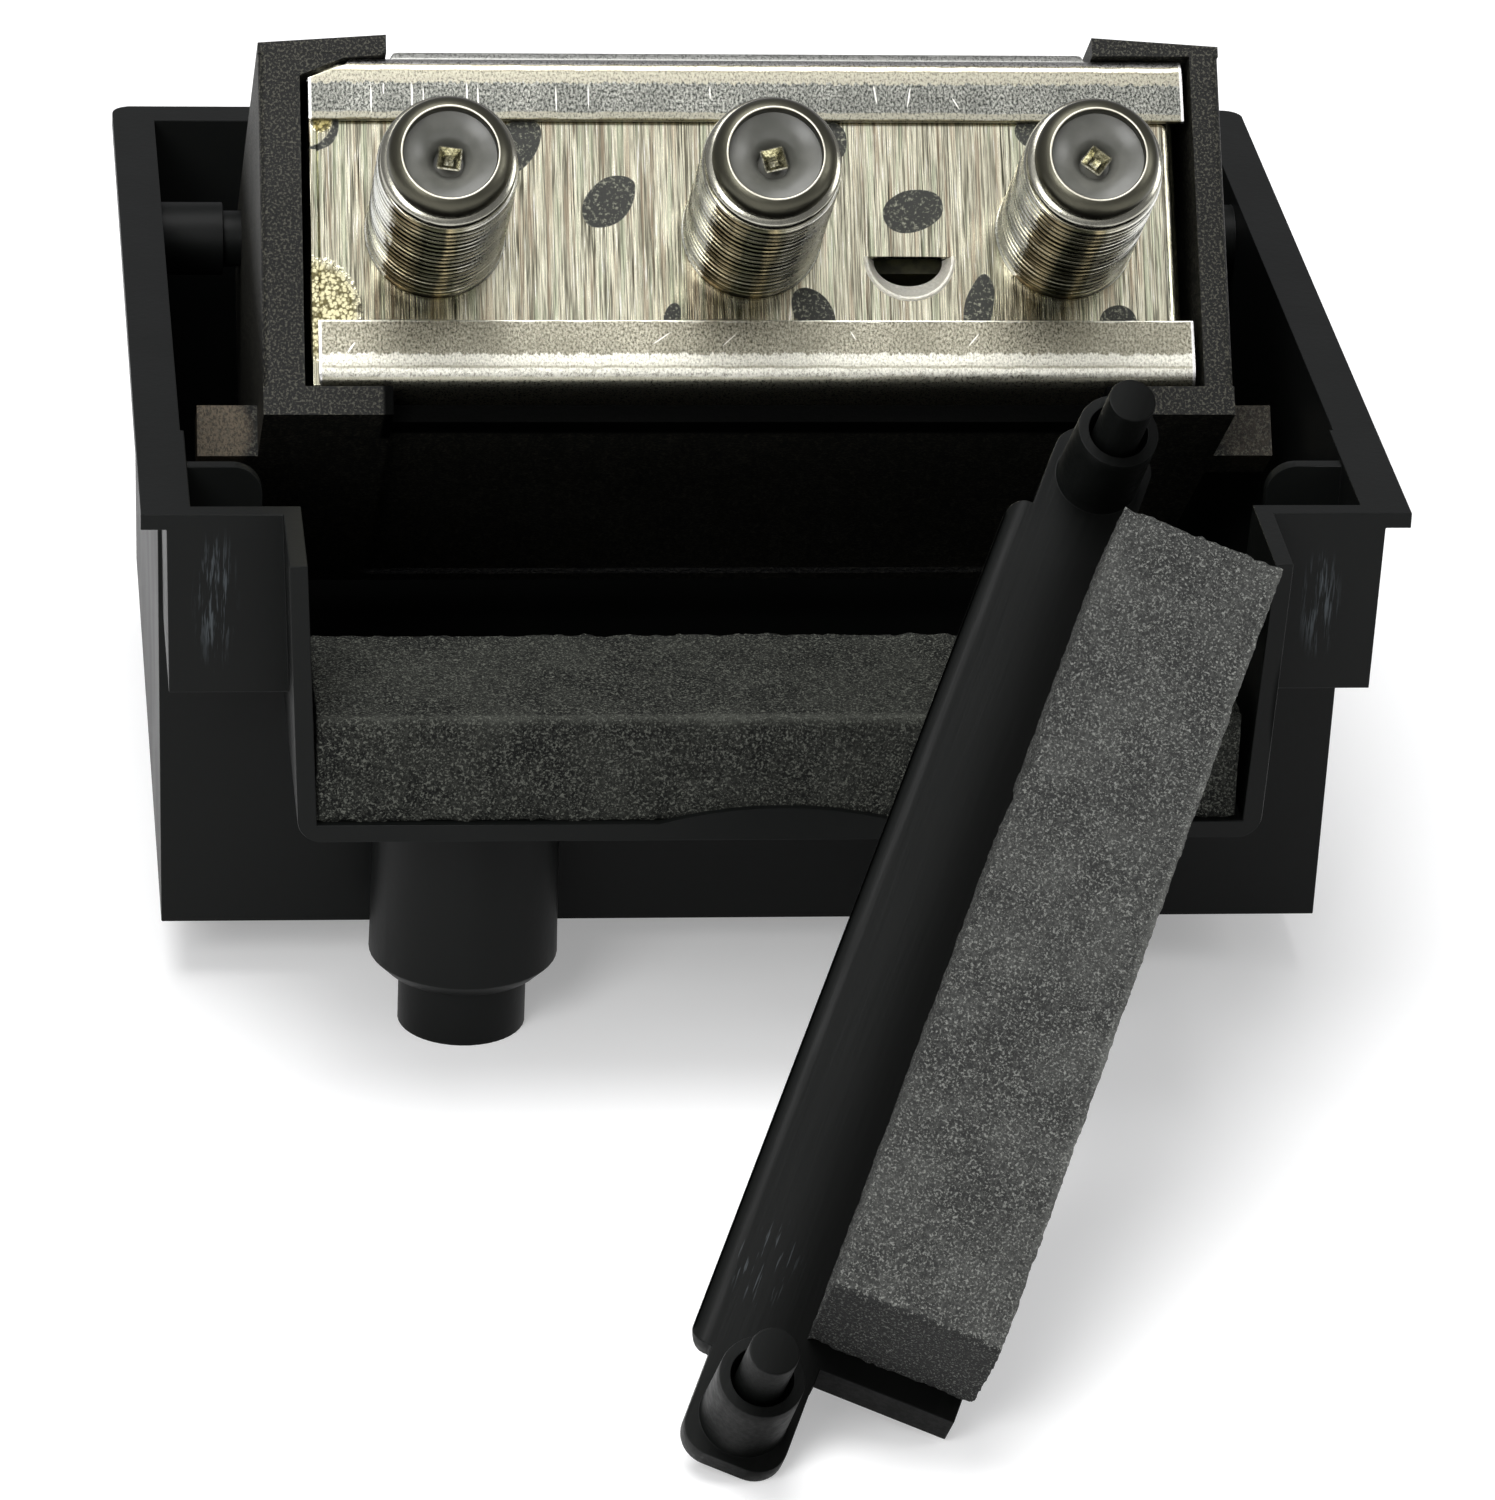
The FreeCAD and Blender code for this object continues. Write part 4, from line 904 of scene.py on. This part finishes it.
insulator_grey, tree, place = own_material("insulator_grey", drawer_place)
cloud = grain(tree, place, 0.6, 3)
speck = grain(tree, place, 8.0, 2)
color = tint(tree, ramp(tree, cloud, 0.3, 0.7), (0.088, 0.089, 0.077), (0.122, 0.122, 0.108))
surface(tree, color, 0.34, bump(tree, speck, 0.004 * MM, 0.5), Specular_IOR_Level=0.5)

contact_brass, tree, place = own_material("contact_brass", drawer_place)
speck = grain(tree, place, 5.0, 3)
color = tint(tree, ramp(tree, speck, 0.35, 0.65), (0.22, 0.21, 0.14), (0.62, 0.60, 0.48))
surface(tree, color, 0.25, bump(tree, speck, 0.01 * MM, 0.5), Metallic=1.0)

# Section of the insulator from its face in: rim, shallow dish, eye, and the long neck behind
DISH_SECTION = [(0.0, -13.0), (1.0, -13.05), (1.12, -13.7), (1.5, -14.0), (1.62, -14.16),
                (2.3, -14.5), (2.9, -14.76), (3.1, -14.8), (3.1, -12.1), (2.4, -12.0),
                (2.4, 3.4), (0.0, 3.4)]
LEAF_LENGTH, LEAF_SHEET, LEAF_DEPTH = 1.2, 0.11, -14.25
LEAF_FOOT, LEAF_WAIST, LEAF_TIP = 0.72, 0.40, 0.34
TAIL_RADIUS, TAIL_FROM, TAIL_TO = 0.4, -13.05, 8.5
CONTACT_TURNS = {"left": 8, "centre": -14, "right": 38}


def spring_contact(x, turn):
    """Four sprung leaves that lean in round the cable's wire, on a thin tail."""
    shape = bmesh.new()
    for side in range(4):
        lean = Matrix.Rotation(math.radians(90 * side + turn), 4, "Y")
        points = [(across * half, LEAF_LENGTH * along, out)
                  for half, along, out, order in ((LEAF_FOOT, 0.0, 0.80, (-1, 1)),
                                                  (LEAF_WAIST, 0.5, 0.42, (1, -1)),
                                                  (LEAF_TIP, 1.0, 0.42, (-1, 1)))
                  for across in order]
        face = [shape.verts.new(lean @ Vector(point)) for point in points]
        shape.faces.new((face[0], face[1], face[2], face[3]))
        shape.faces.new((face[3], face[2], face[5], face[4]))
    bmesh.ops.translate(shape, verts=shape.verts, vec=(x, LEAF_DEPTH, 0))
    bmesh.ops.solidify(shape, geom=shape.faces[:], thickness=LEAF_SHEET)
    steps = 12
    near = ring_of(shape, x, TAIL_RADIUS, TAIL_FROM, steps)
    far = [shape.verts.new(vertex.co + Vector((0, TAIL_TO - TAIL_FROM, 0))) for vertex in near]
    shape.faces.new(near)
    shape.faces.new(far[::-1])
    for k in range(steps):
        shape.faces.new((near[k], near[(k + 1) % steps], far[(k + 1) % steps], far[k]))
    bmesh.ops.recalc_face_normals(shape, faces=shape.faces)
    set_in(shape, module_place)
    return shape


for word, side in (("left", -1), ("centre", 0), ("right", 1)):
    x = side * SOCKET_PITCH
    body = piece_from("socket_shell_" + word, turned(BODY_SECTION, x), "drawer", nickel,
                      smooth_angle=50)
    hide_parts("socket_body_" + word)
    core = piece_from("socket_dish_" + word, capped_turn(DISH_SECTION, x), "drawer", insulator_grey,
                      smooth_angle=50)
    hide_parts("socket_insulator_" + word)
    clip = piece_from("socket_clip_" + word, spring_contact(x, CONTACT_TURNS[word]), "drawer",
                      contact_brass)
    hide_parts("socket_contact_" + word)

# Circuit board inside the module, with its coils, cores, discs and transistor. They show
# only through the D-shaped hole, so the solids stay and get the finishes of the real parts.
def plain_finish(name, low, high, scale, gloss, metal=0.0):
    material, tree, place = own_material(name, drawer_place)
    mottle = grain(tree, place, scale, 3, 0.6)
    color = tint(tree, ramp(tree, mottle, 0.35, 0.65), low, high)
    surface(tree, color, ramp(tree, mottle, 0.3, 0.7, gloss, gloss + 0.15),
            bump(tree, mottle, 0.02 * MM, 0.5), Metallic=metal)
    return material


for node_name, *look in (
        ("circuit_board", "glass_laminate", (0.018, 0.018, 0.008), (0.05, 0.048, 0.02), 1.5, 0.35),
        ("air_coils", "enamelled_copper", (0.35, 0.13, 0.05), (0.75, 0.36, 0.16), 2.5, 0.22, 1.0),
        ("ferrite_cores", "sintered_ferrite", (0.015, 0.015, 0.016), (0.05, 0.05, 0.05), 3.0, 0.5),
        ("disc_capacitors", "dipped_ceramic", (0.36, 0.13, 0.03), (0.52, 0.24, 0.07), 1.0, 0.3),
        ("transistor", "moulded_epoxy", (0.01, 0.01, 0.01), (0.03, 0.03, 0.03), 4.0, 0.45)):
    shown = nodes[node_name].data
    shown.materials.clear()
    shown.materials.append(plain_finish(*look))

# Clamp bar: the moulded strap that presses the seals on the cables. Each end has a tube
# with a lock pin in it. Taken off, it stands on its lower end and leans towards the mouth.
BAR_YAW, BAR_PITCH, BAR_ROLL = -116.6, 33.2, -20.9
BAR_PLACE = Vector((7.1, -33.6, 23.118)) * MM
bar_place = (Matrix.Translation(BAR_PLACE) @ Matrix.Rotation(math.radians(BAR_YAW), 4, "Z")
             @ Matrix.Rotation(math.radians(BAR_PITCH), 4, "Y")
             @ Matrix.Rotation(math.radians(BAR_ROLL), 4, "X"))

BAR_SCRATCH = ((25.5, -2.0, 0.0), (3.5, 2.6, 3.0), 0.5)
WING_CORNER, WING_ROUND = (32.1, -4.8), 1.2
NEAR_CORNER = 0.05

bar_plastic, tree, place = own_material("bar_plastic", bar_place)
cloud = grain(tree, place, 0.14, 3)
drawn = grain(tree, stretched(tree, place, (0.08, 2.4, 2.4)), 1.0, 3, 0.65)
peel = grain(tree, place, 2.4, 2)
scratch = grain(tree, stretched(tree, place, (0.35, 5.0, 5.0)), 1.0, 2, 0.6)
scratched = patch(tree, place, *BAR_SCRATCH)
scratched = product_of(tree, scratched, ramp(tree, scratch, 0.6, 0.68))
color = tint(tree, cloud, (0.0032, 0.0038, 0.0035), (0.0055, 0.006, 0.0056))
color = tint(tree, scratched, color, (0.04, 0.045, 0.048))
# Painted shade: the plate darker and less glossy towards the foam.
beside = axes_of(tree, place)["Y"]
color = tint(tree, ramp(tree, beside, -2.5, 1.6), color, (0.0016, 0.0018, 0.0016))
normal = bump(tree, drawn, 0.03 * MM, 0.4)
normal = bump(tree, peel, 0.015 * MM, 0.4, normal)
surface(tree, color, ramp(tree, drawn, 0.3, 0.7, 0.42, 0.56), normal,
        Specular_IOR_Level=ramp(tree, beside, -2.5, 1.6, 0.12, 0.05))

bar_shape = whole_copy("clamp_bar")
from_bar = bar_place.inverted()
corner_edges = []
for edge in bar_shape.edges:
    ends = [from_bar @ vertex.co / MM for vertex in edge.verts]
    if all(abs(abs(end.x) - WING_CORNER[0]) < NEAR_CORNER
           and abs(end.y - WING_CORNER[1]) < NEAR_CORNER for end in ends):
        corner_edges.append(edge)
bmesh.ops.bevel(bar_shape, geom=corner_edges, offset=WING_ROUND * MM, segments=6, profile=0.5,
                affect="EDGES")
bar = piece_from("clamp_strap", bar_shape, "bar", bar_plastic, EDGE_BREAK)
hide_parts("clamp_bar")
for word in ("upper", "lower"):
    pin = piece_from("lock_peg_" + word, whole_copy("lock_pin_" + word), "bar", bar_plastic,
                     0.14 * MM)
    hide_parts("lock_pin_" + word)

# Upper cable seal: a paler block of the same foam, glued to the bar beside its stiffener.
# Its far edge is sawn a little ragged, and one long side has a short split.
BAR_CELL = 0.33
PALE_EDGE = ((0, 12.95, 8.4), (60, 0.7, 0.9), 0.9)
SPLIT_SPOT, SPLIT_REACH, SPLIT_DEEP = (-10.0, 1.7), 1.6, 0.5
PAD_LOW, PAD_SIZE = Vector((-29.4, 1.95, 0.0)), Vector((58.8, 11.0, 8.4))


def bar_edge_and_end_shade(tree, spot):
    """The far long edge made paler, and the lower end darkened as painted shade."""
    pale = product_of(tree, patch(tree, spot, *PALE_EDGE), 0.25)
    along = axes_of(tree, spot)["X"]
    return sum_of(tree, pale, ramp(tree, along, 28.9, 29.25, 0.0, 0.5), "SUBTRACT")


def bar_tear(spot, inward):
    split = Vector((spot.x - SPLIT_SPOT[0], spot.y - SPLIT_SPOT[1], 0)).length
    if inward.z < 0 or inward.y > 0:
        return SPLIT_DEEP * max(0.0, 1.0 - split / SPLIT_REACH)
    return 0.0


bar_foam = piece_from("bar_seal", foam_block(PAD_SIZE, PAD_LOW, BAR_CELL, bar_place, bar_tear), "bar",
                      foam_finish("grey_foam", (0.20, 0.205, 0.19), (0.018, 0.0185, 0.018),
                                  bar_place, bar_edge_and_end_shade), smooth_angle=75)
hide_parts("bar_foam")
